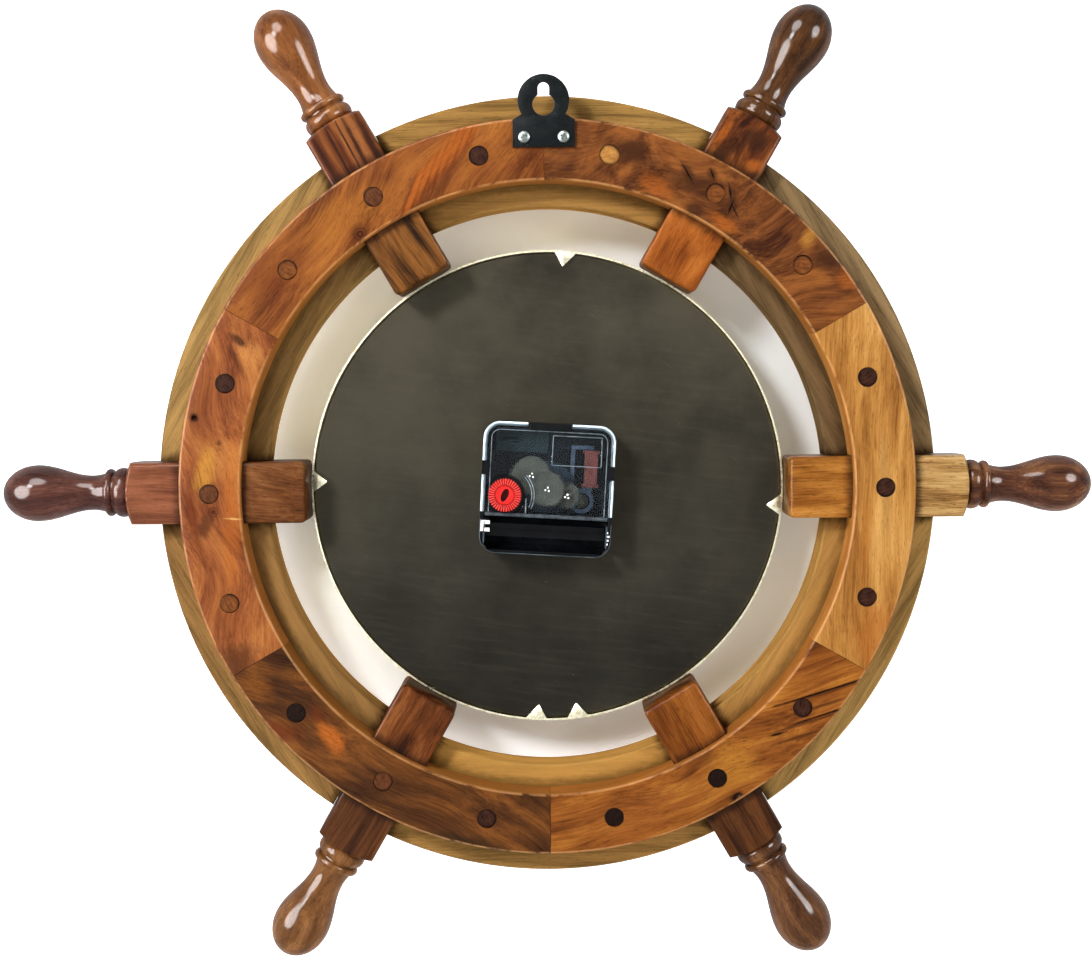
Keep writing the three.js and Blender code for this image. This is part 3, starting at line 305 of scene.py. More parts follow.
class Tree:
    """The nodes of a new material or world, with short calls for the ones used here."""

    def __init__(self, owner, shader="BsdfPrincipled", output="OutputMaterial"):
        self.owner = owner
        owner.use_nodes = True
        self.nodes, self.links = owner.node_tree.nodes, owner.node_tree.links
        self.nodes.clear()
        self.shader, self.output = self.node(shader), self.node(output)
        self.set(self.output.inputs[0], self.shader.outputs[0])

    def set(self, socket, value):
        if isinstance(value, bpy.types.NodeSocket):
            self.links.new(value, socket)
        elif socket.type == "RGBA" and len(value) == 3:
            socket.default_value = rgb(*value)
        else:
            socket.default_value = value

    def fill(self, node, values):
        """Sets a node's sockets by name, with _ for a space."""
        for name, value in values.items():
            self.set(node.inputs[name.replace("_", " ")], value)

    def node(self, kind, **values):
        node = self.nodes.new("ShaderNode" + kind)
        self.fill(node, values)
        return node

    def finish(self, **values):
        """Sets the shader's sockets."""
        self.fill(self.shader, values)
        return self.owner

    def place(self):
        return self.node("TexCoord").outputs["Object"]

    def axis(self, vector, name):
        return self.node("SeparateXYZ", Vector=vector).outputs[name]

    def turn(self, vector, angle):
        node = self.node("VectorRotate", Vector=vector, Angle=math.radians(angle))
        node.rotation_type = "Y_AXIS"
        return node.outputs[0]

    def scale(self, vector, size, shift=(0, 0, 0)):
        return self.node("Mapping", Vector=vector, Scale=size, Location=shift).outputs[0]

    def noise(self, vector, scale=1.0, detail=2.0, roughness=0.5, distortion=0.0, colour=False):
        node = self.node("TexNoise", Vector=vector, Scale=scale, Detail=detail, Roughness=roughness,
                         Distortion=distortion)
        return node.outputs["Color" if colour else "Fac"]

    def math(self, kind, *values):
        node = self.node("Math")
        node.operation = kind
        for socket, value in zip(node.inputs, values):
            self.set(socket, value)
        return node.outputs[0]

    def times(self, first, second):
        return self.math("MULTIPLY", first, second)

    def plus(self, first, second):
        return self.math("ADD", first, second)

    def times_plus(self, value, factor, more):
        return self.math("MULTIPLY_ADD", value, factor, more)

    def away(self, value, middle):
        """How far a value is from a middle."""
        return self.math("ABSOLUTE", self.math("SUBTRACT", value, middle))

    def vector(self, kind, first, second):
        node = self.node("VectorMath")
        node.operation = kind
        self.set(node.inputs[0], first)
        self.set(node.inputs[1], second)
        return node.outputs["Value" if kind == "DOT_PRODUCT" else "Vector"]

    def length(self, vector):
        node = self.node("VectorMath", Vector=vector)
        node.operation = "LENGTH"
        return node.outputs["Value"]

    def flat(self, vector):
        """A place without its depth."""
        return self.vector("MULTIPLY", vector, (1.0, 0.0, 1.0))

    def reach(self, vector, x, z, length, width, turn):
        """How far a place is from the middle of an ellipse in the XZ plane, with 1 on its edge."""
        node = self.node("Mapping", Vector=vector, Location=(x * MM, 0.0, z * MM),
                         Rotation=(0.0, -math.radians(turn), 0.0),
                         Scale=(length / 2 * MM, 1.0, width / 2 * MM))
        node.vector_type = "TEXTURE"
        return self.length(node.outputs[0])

    def step(self, value, low, high, start=0.0, end=1.0):
        """A smooth step of a value between two limits."""
        node = self.node("MapRange", Value=value, From_Min=low, From_Max=high, To_Min=start, To_Max=end)
        node.interpolation_type = "SMOOTHSTEP"
        return node.outputs[0]

    def ramp(self, value, *stops):
        """Colours [place, colour] along a value."""
        node = self.node("ValToRGB")
        self.set(node.inputs[0], value)
        elements = node.color_ramp.elements
        while len(elements) < len(stops):
            elements.new(1.0)
        for element, (position, colour) in zip(elements, stops):
            element.position = position
            element.color = rgb(*colour)
        return node.outputs[0]

    def mix(self, share, first, second):
        node = self.node("Mix")
        node.data_type = "RGBA"
        for index, value in ((0, share), (6, first), (7, second)):
            self.set(node.inputs[index], value)
        return node.outputs[2]

    def surface(self, colour, roughness, specular, height, strength, distance, **more):
        """Sets the shader's colour and gloss, with a height as fine relief."""
        bump = self.node("Bump", Height=height, Strength=strength, Distance=distance)
        return self.finish(Base_Color=colour, Roughness=roughness, Specular_IOR_Level=specular,
                           Normal=bump.outputs[0], **more)

    def seen(self, path):
        """1 for the rays of camera, metal and glass, from the outputs of a light path."""
        share = path["Is Camera Ray"]
        for kind in ("Is Glossy Ray", "Is Transmission Ray"):
            share = self.math("MAXIMUM", share, path[kind])
        return share


def paint(name):
    return Tree(bpy.data.materials.new(name))


# The first colour is a dark brown laid as painted shade in the wheel's corners and recesses.
PAINTED_SHADE, GOUGE_BROWN = (34, 19, 10), (30, 15, 9)


def wood(name, colours, grain, seed, band=12.0, stretch=5.0, warp=7.0, swirl=0.0, lines=0.3, gloss=0.02,
         coat=0.08, coat_roughness=0.15, marks=(), knots=(), gouges=(), tint_and_painted_light=None):
    """Wood, its colours from dark to light. The grain is the angle of the fibres from the piece's +X.
    Band is the width of the figure, stretch its length in widths, warp how far it wanders and swirl how it
    curls. A mark is a patch (x, z, length, width, turn, colour, share), a knot (x, z, radius), a gouge
    (x, z, length, width, turn), and the last argument a function that lays tints, painted shade and painted
    highlights over the colour. Lengths are millimetres in the piece's own frame."""
    t = paint(name)
    place = t.place()
    drift = t.noise(t.scale(place, (17, 17, 17), (seed, 0, 0)), detail=1, colour=True)
    swing = warp * MM * 4
    drift = t.vector("MULTIPLY", t.vector("SUBTRACT", drift, (0.5, 0.5, 0.5)), (swing, swing, swing))
    along = t.turn(t.vector("ADD", place, drift), grain)

    def figure(width, length, detail, shift, curl=0.0):
        size = (1 / (length * MM), 1 / (width * MM), 1 / (width * MM))
        stretched = t.scale(along, size, (0.0, shift, seed))
        return t.noise(stretched, detail=detail, roughness=0.55, distortion=curl)

    broad = figure(band, band * stretch, 4, 1.7, swirl)
    fine = figure(band * 0.1, band * stretch * 0.6, 5, 3.1, swirl * 0.3)
    fibre = figure(0.5, 20.0, 3, 5.3)
    pores = figure(0.36, 3.2, 1, 7.9)
    red, green, blue, _ = rgb(*colours[0])
    deep = (red * 0.45, green * 0.4, blue * 0.4, 1.0)
    tone = t.plus(t.times(broad, 0.72), t.times(fine, 0.28))
    colour = t.ramp(tone, *zip((0.36, 0.5, 0.64), colours))
    ragged = t.noise(t.scale(along, (90, 240, 240)), detail=4, roughness=0.65)
    flat = t.flat(place)
    for x, z, length, width, turn, tint, share in marks:
        reach = t.times_plus(ragged, 1.3, t.reach(flat, x, z, length, width, turn))
        patch = t.times(t.step(reach, 1.0, 1.95, share, 0.0), t.step(fine, 0.2, 0.6, 0.6, 1.0))
        colour = t.mix(patch, colour, tint)
    streaks = t.times(t.step(fibre, 0.38, 0.5, lines, 0.0), t.step(broad, 0.35, 0.6, 1.4, 0.5))
    colour = t.mix(streaks, colour, deep)
    colour = t.mix(t.step(pores, 0.62, 0.7, 0.0, lines * 1.4), colour, deep)
    height = t.plus(t.times(fine, 0.3), t.times(fibre, 0.3))
    for x, z, radius in knots:
        reach = t.times_plus(ragged, 0.5, t.reach(flat, x, z, 2 * radius, 2 * radius, 0))
        ring = t.times_plus(t.math("SINE", t.times(reach, 17.0)), 0.3, 0.7)
        colour = t.mix(t.times(t.step(reach, 0.5, 1.35, 0.95, 0.0), ring), colour, deep)
        height = t.math("SUBTRACT", height, t.step(reach, 0.2, 0.7, 1.2, 0.0))
    for gouge in gouges:
        reach = t.times_plus(ragged, 3.0, t.reach(flat, *gouge))
        colour = t.mix(t.step(reach, 2.0, 3.6, 0.9, 0.0), colour, GOUGE_BROWN)
    # Tints, painted shade and painted highlights laid over the wood's colour
    if tint_and_painted_light:
        colour = tint_and_painted_light(t, colour, place, t.length(flat), ragged)
    return t.surface(colour, t.step(fine, 0.3, 0.7, 0.52, 0.4), gloss, height, 0.2, 0.0004,
                     Coat_Weight=coat, Coat_Roughness=coat_roughness)


def rear_wear(t, colour, place, radius, ragged):
    """A rear felloe's inner wall golden, and a painted highlight along its arrises."""
    wall = t.step(radius, (REAR_INNER + 0.1) * MM, (REAR_INNER + 0.5) * MM, 0.5, 0.0)
    colour = t.mix(wall, colour, (200, 130, 58))
    # Painted highlight: a pale, broken line along the inner and outer arrises
    for edge in (REAR_INNER + 0.6, REAR_OUTER - 0.6):
        near = t.step(t.away(radius, edge * MM), 0.1 * MM, 0.7 * MM, 0.5, 0.0)
        colour = t.mix(t.times(near, t.step(ragged, 0.35, 0.55)), colour, (222, 162, 100))
    return colour


def block_wear(t, colour, place, radius, ragged):
    """Painted shade on a spoke's block where it meets the rear rim, and deeper down its sides towards the
    front rim.
    """
    uneven = t.times_plus(ragged, 0.006, -0.003)
    # Painted shade where the block meets the rear rim's inner and outer edges
    for edge in (REAR_INNER, REAR_OUTER):
        off = t.plus(t.away(t.axis(place, "X"), edge * MM), uneven)
        colour = t.mix(t.step(off, 0.0, 4.5 * MM, 0.75, 0.0), colour, PAINTED_SHADE)
    # Painted shade growing down the block's sides towards the front rim
    depth = t.math("SUBTRACT", uneven, t.axis(place, "Y"))
    return t.mix(t.step(depth, 6 * MM, FRONT_BACK * MM, 0.0, 0.7), colour, PAINTED_SHADE)


def front_wear(inner_tint_and_light):
    """A front felloe's back: its inner zone in its own tint, which is partly painted light and shade, and
    painted shade beside the spokes and along the rear rim.
    """
    def lay(t, colour, place, radius, ragged):
        behind = t.step(t.axis(place, "Y"), -(FRONT_FRONT - 4) * MM, -(FRONT_FRONT - 8) * MM)
        # The inner zone's tint is partly wood tone and partly painted light and shade, bright where light
        # falls and dark where the rear rim shades it
        inner = t.step(radius, INNER_ZONE * MM, INNER_ZONE_END * MM, 0.5, 0.0)
        colour = t.mix(t.times(behind, inner), colour, inner_tint_and_light)
        uneven = t.times_plus(ragged, 0.008, -0.004)
        for side in (-30, 30):
            c, s = polar(1, side)
            across = t.math("ABSOLUTE", t.vector("DOT_PRODUCT", place, (s, 0.0, -c)))
            # Painted shade in the corners beside each spoke
            corner = t.step(t.plus(across, uneven), SPOKE_HALF * MM, (SPOKE_HALF + 5) * MM, 0.8, 0.0)
            colour = t.mix(t.times(behind, corner), colour, PAINTED_SHADE)
        # Painted shade on the front rim near the rear rim's inner and outer edges
        off = t.plus(radius, uneven)
        inside = t.step(off, (REAR_INNER - 5) * MM, REAR_INNER * MM, 0.0, 0.5)
        outside = t.step(off, REAR_OUTER * MM, (REAR_OUTER + 3) * MM, 1.0, 0.0)
        return t.mix(t.times(t.times(inside, outside), behind), colour, PAINTED_SHADE)
    return lay


def end_grain(name, dark, light, seed):
    """The sawn end of a dowel: rings and rays about its axis, with a dark, uneven edge."""
    t = paint(name)
    place = t.place()
    ragged = t.noise(t.scale(place, (420, 420, 420), (seed, 0, 0)), detail=4, roughness=0.65)
    streak = t.noise(t.scale(place, (250, 250, 1100), (0, seed, 0)), detail=3)
    tone = t.plus(t.times(streak, 0.5), t.times(ragged, 0.5))
    colour = t.ramp(tone, (0.34, dark), (0.66, light))
    reach = t.times_plus(ragged, 0.0016, t.length(t.flat(place)))
    side = t.noise(t.scale(place, (170, 170, 170), (seed, 0, 0)), detail=1)
    rim = t.step(reach, (DOWEL_RADIUS - 0.6) * MM, (DOWEL_RADIUS + 0.6) * MM)
    edge = t.times(rim, t.step(side, 0.4, 0.6, 0.2, 0.85))
    colour = t.mix(edge, colour, (24, 13, 9))
    return t.surface(colour, t.step(ragged, 0.3, 0.7, 0.65, 0.45), 0.02, ragged, 0.35, 0.0005)


def metal(name, colour, stain, roughness, scale=180.0, share=0.6, metallic=1.0):
    """Worn metal: the colour with stains, and a roughness that varies."""
    t = paint(name)
    cloud = t.noise(t.place(), scale, detail=5, roughness=0.65)
    tint = t.mix(t.step(cloud, 0.45, 0.72, 0.0, share), colour, stain)
    rough = t.step(cloud, 0.3, 0.7, roughness * 0.7, roughness * 1.35)
    return t.surface(tint, rough, 0.5, cloud, 0.08, 0.0003, Metallic=metallic)


def plastic(name, colour, other, roughness, scale=260.0, texture=0.05, specular=0.5):
    """Moulded plastic: faint cloudiness, a fine surface and small scuffs."""
    t = paint(name)
    place = t.place()
    cloud = t.noise(place, scale, detail=3)
    grit = t.noise(place, scale * 14, detail=2)
    tint = t.mix(t.step(cloud, 0.35, 0.7), colour, other)
    rough = t.step(grit, 0.3, 0.75, roughness * 0.8, roughness * 1.25)
    return t.surface(tint, rough, specular, grit, texture, 0.0002)


def enamel():
    """Black enamel with specks of dust and worn, paler rubs."""
    t = paint("black_enamel_worn")
    place = t.place()
    cloud = t.noise(place, 220, detail=5, roughness=0.7)
    speck = t.noise(place, 1500, detail=2)
    tint = t.mix(t.step(cloud, 0.5, 0.75, 0.0, 0.7), (7, 12, 14), (20, 28, 30))
    tint = t.mix(t.step(speck, 0.7, 0.76, 0.0, 0.5), tint, (110, 116, 110))
    return t.surface(tint, t.step(cloud, 0.3, 0.7, 0.36, 0.24), 0.1, cloud, 0.1, 0.0003)


def painted_board():
    """The dial board's back: warm black paint with scuffs and dust, and painted light that makes its upper
    half paler.
    """
    t = paint("board_paint")
    place = t.place()
    cloud = t.noise(place, 14, detail=6, roughness=0.62)
    brush = t.noise(t.scale(t.turn(place, 8), (40, 40, 460)), detail=4, roughness=0.6)
    dust = t.noise(place, 1300, detail=2, roughness=0.6)
    scratch = t.noise(t.scale(t.turn(place, 37), (60, 60, 2200)), detail=3, distortion=0.3)
    tint = t.ramp(cloud, (0.3, (30, 28, 24)), (0.52, (43, 41, 35)), (0.72, (62, 58, 49)))
    tint = t.mix(t.step(brush, 0.45, 0.8, 0.0, 0.3), tint, (70, 66, 56))
    # Painted light: the board's upper half made paler, as if lit from above
    painted_top_light = t.times(t.step(t.axis(place, "Z"), -0.1, 0.1), t.step(cloud, 0.25, 0.6, 0.3, 1.0))
    tint = t.mix(t.times(painted_top_light, 0.55), tint, (92, 86, 70))
    tint = t.mix(t.step(scratch, 0.72, 0.8, 0.0, 0.35), tint, (110, 105, 95))
    tint = t.mix(t.step(dust, 0.72, 0.8, 0.0, 0.5), tint, (120, 115, 105))
    return t.surface(tint, t.step(cloud, 0.3, 0.7, 0.7, 0.55), 0.02, brush, 0.06, 0.0004)


def clear(name, tint, roughness, ior):
    """Clear plastic or glass of a linear tint, with faint smears in its gloss."""
    t = paint(name)
    smear = t.noise(t.place(), 90, detail=4, roughness=0.6)
    return t.finish(Base_Color=(*tint, 1.0), Transmission_Weight=1.0, IOR=ior,
                    Roughness=t.step(smear, 0.4, 0.75, roughness * 0.5, roughness * 1.5))


# Woods of the wheel, spoke by spoke. Marks lie in a piece's own frame, with +X along its spoke.
DARK_RED, DEEP_BROWN, GOLD, ORANGE = (98, 40, 16), (60, 31, 13), (200, 138, 54), (184, 98, 32)
REAR_WOODS = (
    dict(colours=((100, 46, 22), (152, 85, 42), (188, 120, 60)), grain=80, warp=9,
         marks=((140, 10, 9, 26, 12, GOLD, 0.75), (130, -8, 9, 60, 2, ORANGE, 0.5),
                (146, -10, 5, 26, -14, DARK_RED, 0.8), (141, -13, 6, 12, 20, DEEP_BROWN, 0.75),
                (129, -72, 16, 22, 10, DEEP_BROWN, 0.75), (135, 70, 18, 10, 0, DARK_RED, 0.5),
                (143, 36, 12, 40, -8, DARK_RED, 0.45), (129.8, -10.3, 9, 1.0, 4, (226, 178, 104), 0.8),
                (121, 57, 11, 15, -25, (200, 132, 68), 0.75), (125.8, 63, 10, 3.4, 35, DEEP_BROWN, 0.95),
                (127, 55, 3, 16, -25, DEEP_BROWN, 0.6)),
         knots=((137.5, -7.5, 3.4), (134.5, 21.0, 1.6)),
         gouges=((144.6, 31.4, 2.4, 2.4, 0),)),
    dict(colours=((84, 38, 14), (134, 74, 30), (172, 104, 42)), grain=66, warp=7,
         marks=((136, -58, 22, 44, 20, DARK_RED, 0.55), (138, -14, 18, 44, 0, (168, 102, 38), 0.7),
                *[(131 + 2.1 * i, 13 + 6.4 * i, 26, 3.2, 53, DARK_RED, 0.95) for i in range(7)],
                *[(133 + 2.1 * i, 16 + 6.4 * i, 24, 2.6, 53, ORANGE, 0.85) for i in range(7)],
                (128.5, -12.2, 12, 14, 0, DARK_RED, 0.5)),
         knots=((129.0, -12.4, 4.2),)),
    dict(colours=((62, 29, 12), (110, 61, 27), (148, 87, 37)), grain=52, warp=9, band=9.0, stretch=2.4,
         swirl=0.8, lines=0.2,
         marks=((137, -38, 14, 12, 10, DEEP_BROWN, 0.85), (138, -10, 8, 24, -30, DEEP_BROWN, 0.8),
                (140, 54, 12, 14, -20, DEEP_BROWN, 0.85), (130, 9, 7, 14, 0, ORANGE, 0.7),
                (142, 42, 10, 6, 0, GOLD, 0.6), (130, -22, 9, 16, 0, ORANGE, 0.5),
                (129, -4, 8, 8, 0, DEEP_BROWN, 0.85), (136, 64, 10, 9, 0, ORANGE, 0.5),
                (141, -14, 9, 5, 121, DEEP_BROWN, 0.9), (145, -5, 6, 4, 130, DEEP_BROWN, 0.85),
                (139, 8, 12, 5, 155, DEEP_BROWN, 0.85), (139, 0, 11, 11, 0, DEEP_BROWN, 0.45)),
         gouges=((140.9, -14.2, 6.5, 0.7, 121), (145.2, -4.9, 3.4, 0.7, 130), (142.3, 5.2, 4.6, 0.6, 140),
                 (137.4, 8.2, 6.0, 0.6, 172), (136.8, 10.6, 3.8, 0.5, 124))),
    dict(colours=((146, 92, 38), (186, 128, 60), (214, 160, 88)), grain=91, warp=2.5, band=8.0, stretch=9.0,
         marks=((136, 62, 22, 32, 0, (176, 102, 40), 0.7), (139, -2, 5, 50, -3, (150, 104, 52), 0.5),
                (131, 22, 4, 46, 3, (168, 100, 38), 0.55))),
    dict(colours=((86, 42, 13), (140, 78, 27), (180, 114, 42)), grain=102, warp=4, band=8.0, stretch=7.0,
         marks=((137, -9, 20, 26, 0, (190, 126, 44), 0.6), (140, 36, 16, 40, 0, (140, 74, 28), 0.45),
                *[(131 + 3.4 * i, -58 + 7 * i, 34, 1.5, 103, DEEP_BROWN, 0.75) for i in range(4)]),
         gouges=((130.2, -57.0, 36, 0.6, 103), (138.2, -50.0, 20, 0.6, 102), (135.8, -30.5, 5, 0.9, 105),
                 (150.0, -3.2, 2.6, 4.2, 0))),
    dict(colours=((44, 22, 8), (86, 48, 19), (130, 76, 30)), grain=91, warp=6, band=10.0,
         marks=((144, -48, 9, 46, -14, (52, 35, 14), 0.85), (133, 28, 8, 19, 24, ORANGE, 0.95),
                (143, 50, 8, 26, -18, DARK_RED, 0.8), (131, 66, 12, 18, 0, (146, 84, 30), 0.6),
                (142, 6, 6, 26, 6, DEEP_BROWN, 0.6), (128, 37, 6, 8, 30, DARK_RED, 0.7))),
)
FRONT_TONES = ((172, 137, 82), (172, 132, 72), (142, 116, 80), (180, 142, 82), (164, 122, 66),
               (152, 114, 66))
# Tints of the front rims' inner zones: partly wood tone and partly painted light and shade.
FRONT_INNER_TINTS_AND_LIGHT = ((116, 84, 46), (156, 112, 58), (84, 60, 34), (190, 138, 70), (222, 168, 84),
                     (156, 116, 66))
OUTER_STREAKS = ((-9.6, 2.2), (-3.4, 1.5), (1.6, 1.0), (4.6, 2.0), (10.2, 3.0))
OUTER_BLOCKS = (
    dict(colours=((104, 56, 34), (138, 80, 51), (158, 98, 66))),
    dict(colours=((84, 38, 16), (126, 70, 32), (160, 98, 50)),
         marks=[(160, z, 46, width, 2, (44, 20, 12), 0.95) for z, width in OUTER_STREAKS]),
    dict(colours=((46, 20, 8), (100, 50, 20), (146, 82, 32)), band=7.0, stretch=1.9, warp=7.0, swirl=0.8,
         marks=((156, -5, 13, 6, 25, DEEP_BROWN, 0.9), (167, 3, 7, 12, -20, DEEP_BROWN, 0.85),
                (163, -9, 12, 4, 5, ORANGE, 0.7), (157, 8, 8, 5, 40, ORANGE, 0.6))),
    dict(colours=((128, 88, 42), (180, 137, 80), (208, 168, 108)), band=2.2, stretch=12.0, lines=0.5),
    dict(colours=((40, 19, 8), (70, 38, 16), (104, 60, 28))),
    dict(colours=((44, 22, 8), (80, 44, 20), (110, 66, 34))),
)
INNER_BLOCKS = (
    dict(colours=((60, 30, 12), (106, 61, 29), (146, 95, 54)), band=8.0, stretch=4.0, warp=5.0),
    dict(colours=((40, 23, 10), (110, 67, 28), (152, 96, 42)), band=5.0, stretch=8.0),
    dict(colours=((116, 54, 14), (156, 84, 28), (182, 106, 42)), warp=4.0),
    dict(colours=((128, 72, 22), (168, 107, 40), (198, 134, 60)), lines=0.4),
    dict(colours=((98, 48, 13), (138, 77, 24), (166, 100, 40)), lines=0.4),
    dict(colours=((52, 24, 8), (106, 55, 23), (146, 87, 42)), warp=5.0),
)
BLOCK_LOOKS = (
    ("inner", 40, dict(band=6.0, stretch=7.0, warp=3.0), INNER_BLOCKS),
    ("outer", 50, dict(band=4.0, stretch=16.0, warp=1.5), OUTER_BLOCKS),
)
HANDLE_WOODS = (
    ((46, 22, 18), (83, 47, 38), (118, 74, 60)),
    ((100, 54, 22), (134, 80, 38), (164, 106, 58)),
    ((42, 22, 8), (78, 45, 17), (114, 72, 36)),
    ((58, 30, 18), (97, 56, 34), (146, 98, 58)),
    ((64, 36, 16), (101, 62, 32), (136, 90, 50)),
    ((88, 52, 22), (124, 79, 39), (156, 106, 60)),
)
DOWEL_TONES = (
    ("black", (12, 7, 5), (38, 21, 15), 1.0),
    ("dark", (30, 15, 11), (74, 43, 31), 2.0),
    ("brown", (58, 29, 16), (116, 67, 38), 4.0),
    ("wood", (76, 38, 17), (144, 84, 37), 6.0),
    ("tan", (150, 96, 40), (204, 148, 78), 7.0),
)
PEGS = (
    ("spoke_peg", 0, SPOKE_DOWEL_FRONT, ("brown", "brown", "wood", "dark", "black", "brown")),
    ("rim_peg_a", RIM_DOWEL_ANGLE, RIM_DOWEL_FRONT, ("dark", "dark", "wood", "dark", "black", "black")),
    ("rim_peg_b", -RIM_DOWEL_ANGLE, RIM_DOWEL_FRONT, ("wood", "wood", "tan", "dark", "dark", "dark")),
)


# Wheel: felloes, spokes and dowels
def gouge_form(x, z, length, width, turn):
    """A spindle that cuts a groove into the rear rim's back, or a round pit."""
    c, s = polar(1, turn)
    rings = []
    for i in range(13):
        along = -math.cos(math.pi * i / 12)
        girth = math.sqrt(1 - along * along) + 0.02
        ring = []
        for k in range(8):
            across, sunk = polar(girth, 45 * k)
            u, v = along * length / 2, across * width / 2
            ring.append((x + u * c - v * s, sunk * min(width, GOUGE_DEPTH), z + u * s + v * c))
        rings.append(ring)
    return loft(rings)


def felloe_form(section):
    """A section swept over a sixth of a turn, with both ends broken a little."""
    half = 30 - math.degrees(JOINT_GAP / DOWEL_CIRCLE)
    inner = half - math.degrees(JOINT_BREAK / DOWEL_CIRCLE)
    steps = 40
    angles = [-inner + 2 * inner * i / steps for i in range(steps + 1)]
    ends = section(JOINT_BREAK)
    return loft(swept(ends, [-half]) + swept(section(0), angles) + swept(ends, [half]))


def spoke_slot(back, front):
    half = SPOKE_HALF + FIT
    return box_form(CUT_INNER, CUT_OUTER, back, front, -half, half)


def rear_felloe(gouges):
    def section(shrink):
        e = EDGE_BREAK
        return [
            (REAR_INNER + shrink, REAR_FRONT), (REAR_OUTER - shrink, REAR_FRONT),
            *arc((REAR_OUTER - e - shrink, e + shrink), e, 0, -90, 4),
            *[(REAR_OUTER - (REAR_OUTER - REAR_INNER) * i / 6, shrink) for i in range(1, 6)],
            *arc((REAR_INNER + e + shrink, e + shrink), e, 270, 180, 4),
        ]
    cutters = [spoke_slot(SPOKE_BACK - FIT, CUT_FRONT)]
    for angle in (-RIM_DOWEL_ANGLE, 0, RIM_DOWEL_ANGLE):
        cutters.append(rod_form(*polar(DOWEL_CIRCLE, angle), DOWEL_RADIUS + 0.05, -1, REAR_FRONT + 1))
    cutters += [gouge_form(*gouge) for gouge in gouges]
    return carved(felloe_form(section), cutters)


def front_felloe():
    def section(shrink):
        r, e = FRONT_ROUND, FRONT_BREAK
        return [
            (FRONT_INNER + shrink, FRONT_BACK + e), (FRONT_INNER + e + shrink, FRONT_BACK + shrink),
            (FRONT_OUTER - e - shrink, FRONT_BACK + shrink), (FRONT_OUTER - shrink, FRONT_BACK + e),
            *arc((FRONT_OUTER - r - shrink, FRONT_FRONT - r - shrink), r, 0, 90, 8),
            *arc((FRONT_INNER + r + shrink, FRONT_FRONT - r - shrink), r, 90, 180, 8),
        ]
    slot = spoke_slot(CUT_BACK, SPOKE_FRONT + FIT)
    return carved(felloe_form(section), [rotated(slot, side) for side in (-30, 30)])


def handle_profile():
    """[distance from the wheel's axis, radius] from the block's end to the tip."""
    start = BLOCK_END + 0.05
    points = [(BLOCK_END, SPOKE_HALF), (start, SPOKE_HALF - 0.5), (start, GROOVE_RADIUS)]
    at = BLOCK_END + BLOCK_GROOVE
    for length, radius in ((BEAD_LENGTH, BEAD_RADIUS), (COLLAR_LENGTH, COLLAR_RADIUS)):
        for i in range(15):
            along, rise = polar(1, 180 - 180 * i / 14)
            points.append((at + length / 2 * (1 + along), GROOVE_RADIUS + (radius - GROOVE_RADIUS) * rise))
        at += length + GROOVE_LENGTH
    at -= GROOVE_LENGTH
    for i in range(1, 10):
        rise = (GROOVE_RADIUS - NECK_RADIUS) * (1 - i / 10) ** 2
        points.append((at + FLARE_LENGTH * i / 10, NECK_RADIUS + rise))
    at += FLARE_LENGTH
    for i in range(20):
        rise = (BULB_RADIUS - NECK_RADIUS) * (0.5 - 0.5 * math.cos(math.pi * i / 20))
        points.append((at + TAPER_LENGTH * i / 20, NECK_RADIUS + rise))
    at += TAPER_LENGTH
    for i in range(18):
        radius, reach = polar(1, 90 * i / 18)
        points.append((at + TIP_LENGTH * reach, BULB_RADIUS * radius))
    points.append((at + TIP_LENGTH - 0.02, 0.4))
    return points


def square_reach(half, angle):
    """The distance from the middle to the edge of a square with round corners."""
    x, y = polar(1, angle)
    c, s = abs(x), abs(y)
    flat = half / max(c, s)
    inside = half - SPOKE_CORNER
    b = inside * (c + s)
    gap = b * b - (2 * inside * inside - SPOKE_CORNER * SPOKE_CORNER)
    if flat * min(c, s) <= inside or gap < 0:
        return flat
    return b + math.sqrt(gap)


def spoke():
    """A spoke along +X: stations of its block [x, half width, largest radius], then the turned handle."""
    quarter = [*range(0, 37, 4), 39, 41.2, 43, 45, 47, 48.8, 51, *range(54, 87, 4)]
    angles = [base + turn for base in (0, 90, 180, 270) for turn in quarter]
    corner = SPOKE_HALF * math.sqrt(2)
    stations = []
    for turn in (0, 30, 60, 90):
        c, s = polar(1, turn)
        stations.append((SPOKE_INNER + END_LENGTH * (1 - c), SPOKE_HALF - END_DROP * (1 - s), corner))
    stations += [(DOWEL_CIRCLE, SPOKE_HALF, corner), (BLOCK_END - SHOULDER, SPOKE_HALF, corner)]
    for i in range(1, 6):
        share = i / 6
        limit = corner + (SPOKE_HALF - corner) * share
        stations.append((BLOCK_END - SHOULDER * (1 - share), SPOKE_HALF, limit))
    profiles = []
    for x, half, limit in stations:
        profiles.append((x, [min(square_reach(half, angle), limit) for angle in angles]))
    profiles += [(x, [radius] * len(angles)) for x, radius in handle_profile()]
    rings = []
    for x, radii in profiles:
        ring = []
        for radius, angle in zip(radii, angles):
            across, up = polar(radius, angle)
            ring.append((x, across - SPOKE_MIDDLE, up))
        rings.append(ring)
    return to_mesh("spoke", loft(rings), sharp=40)


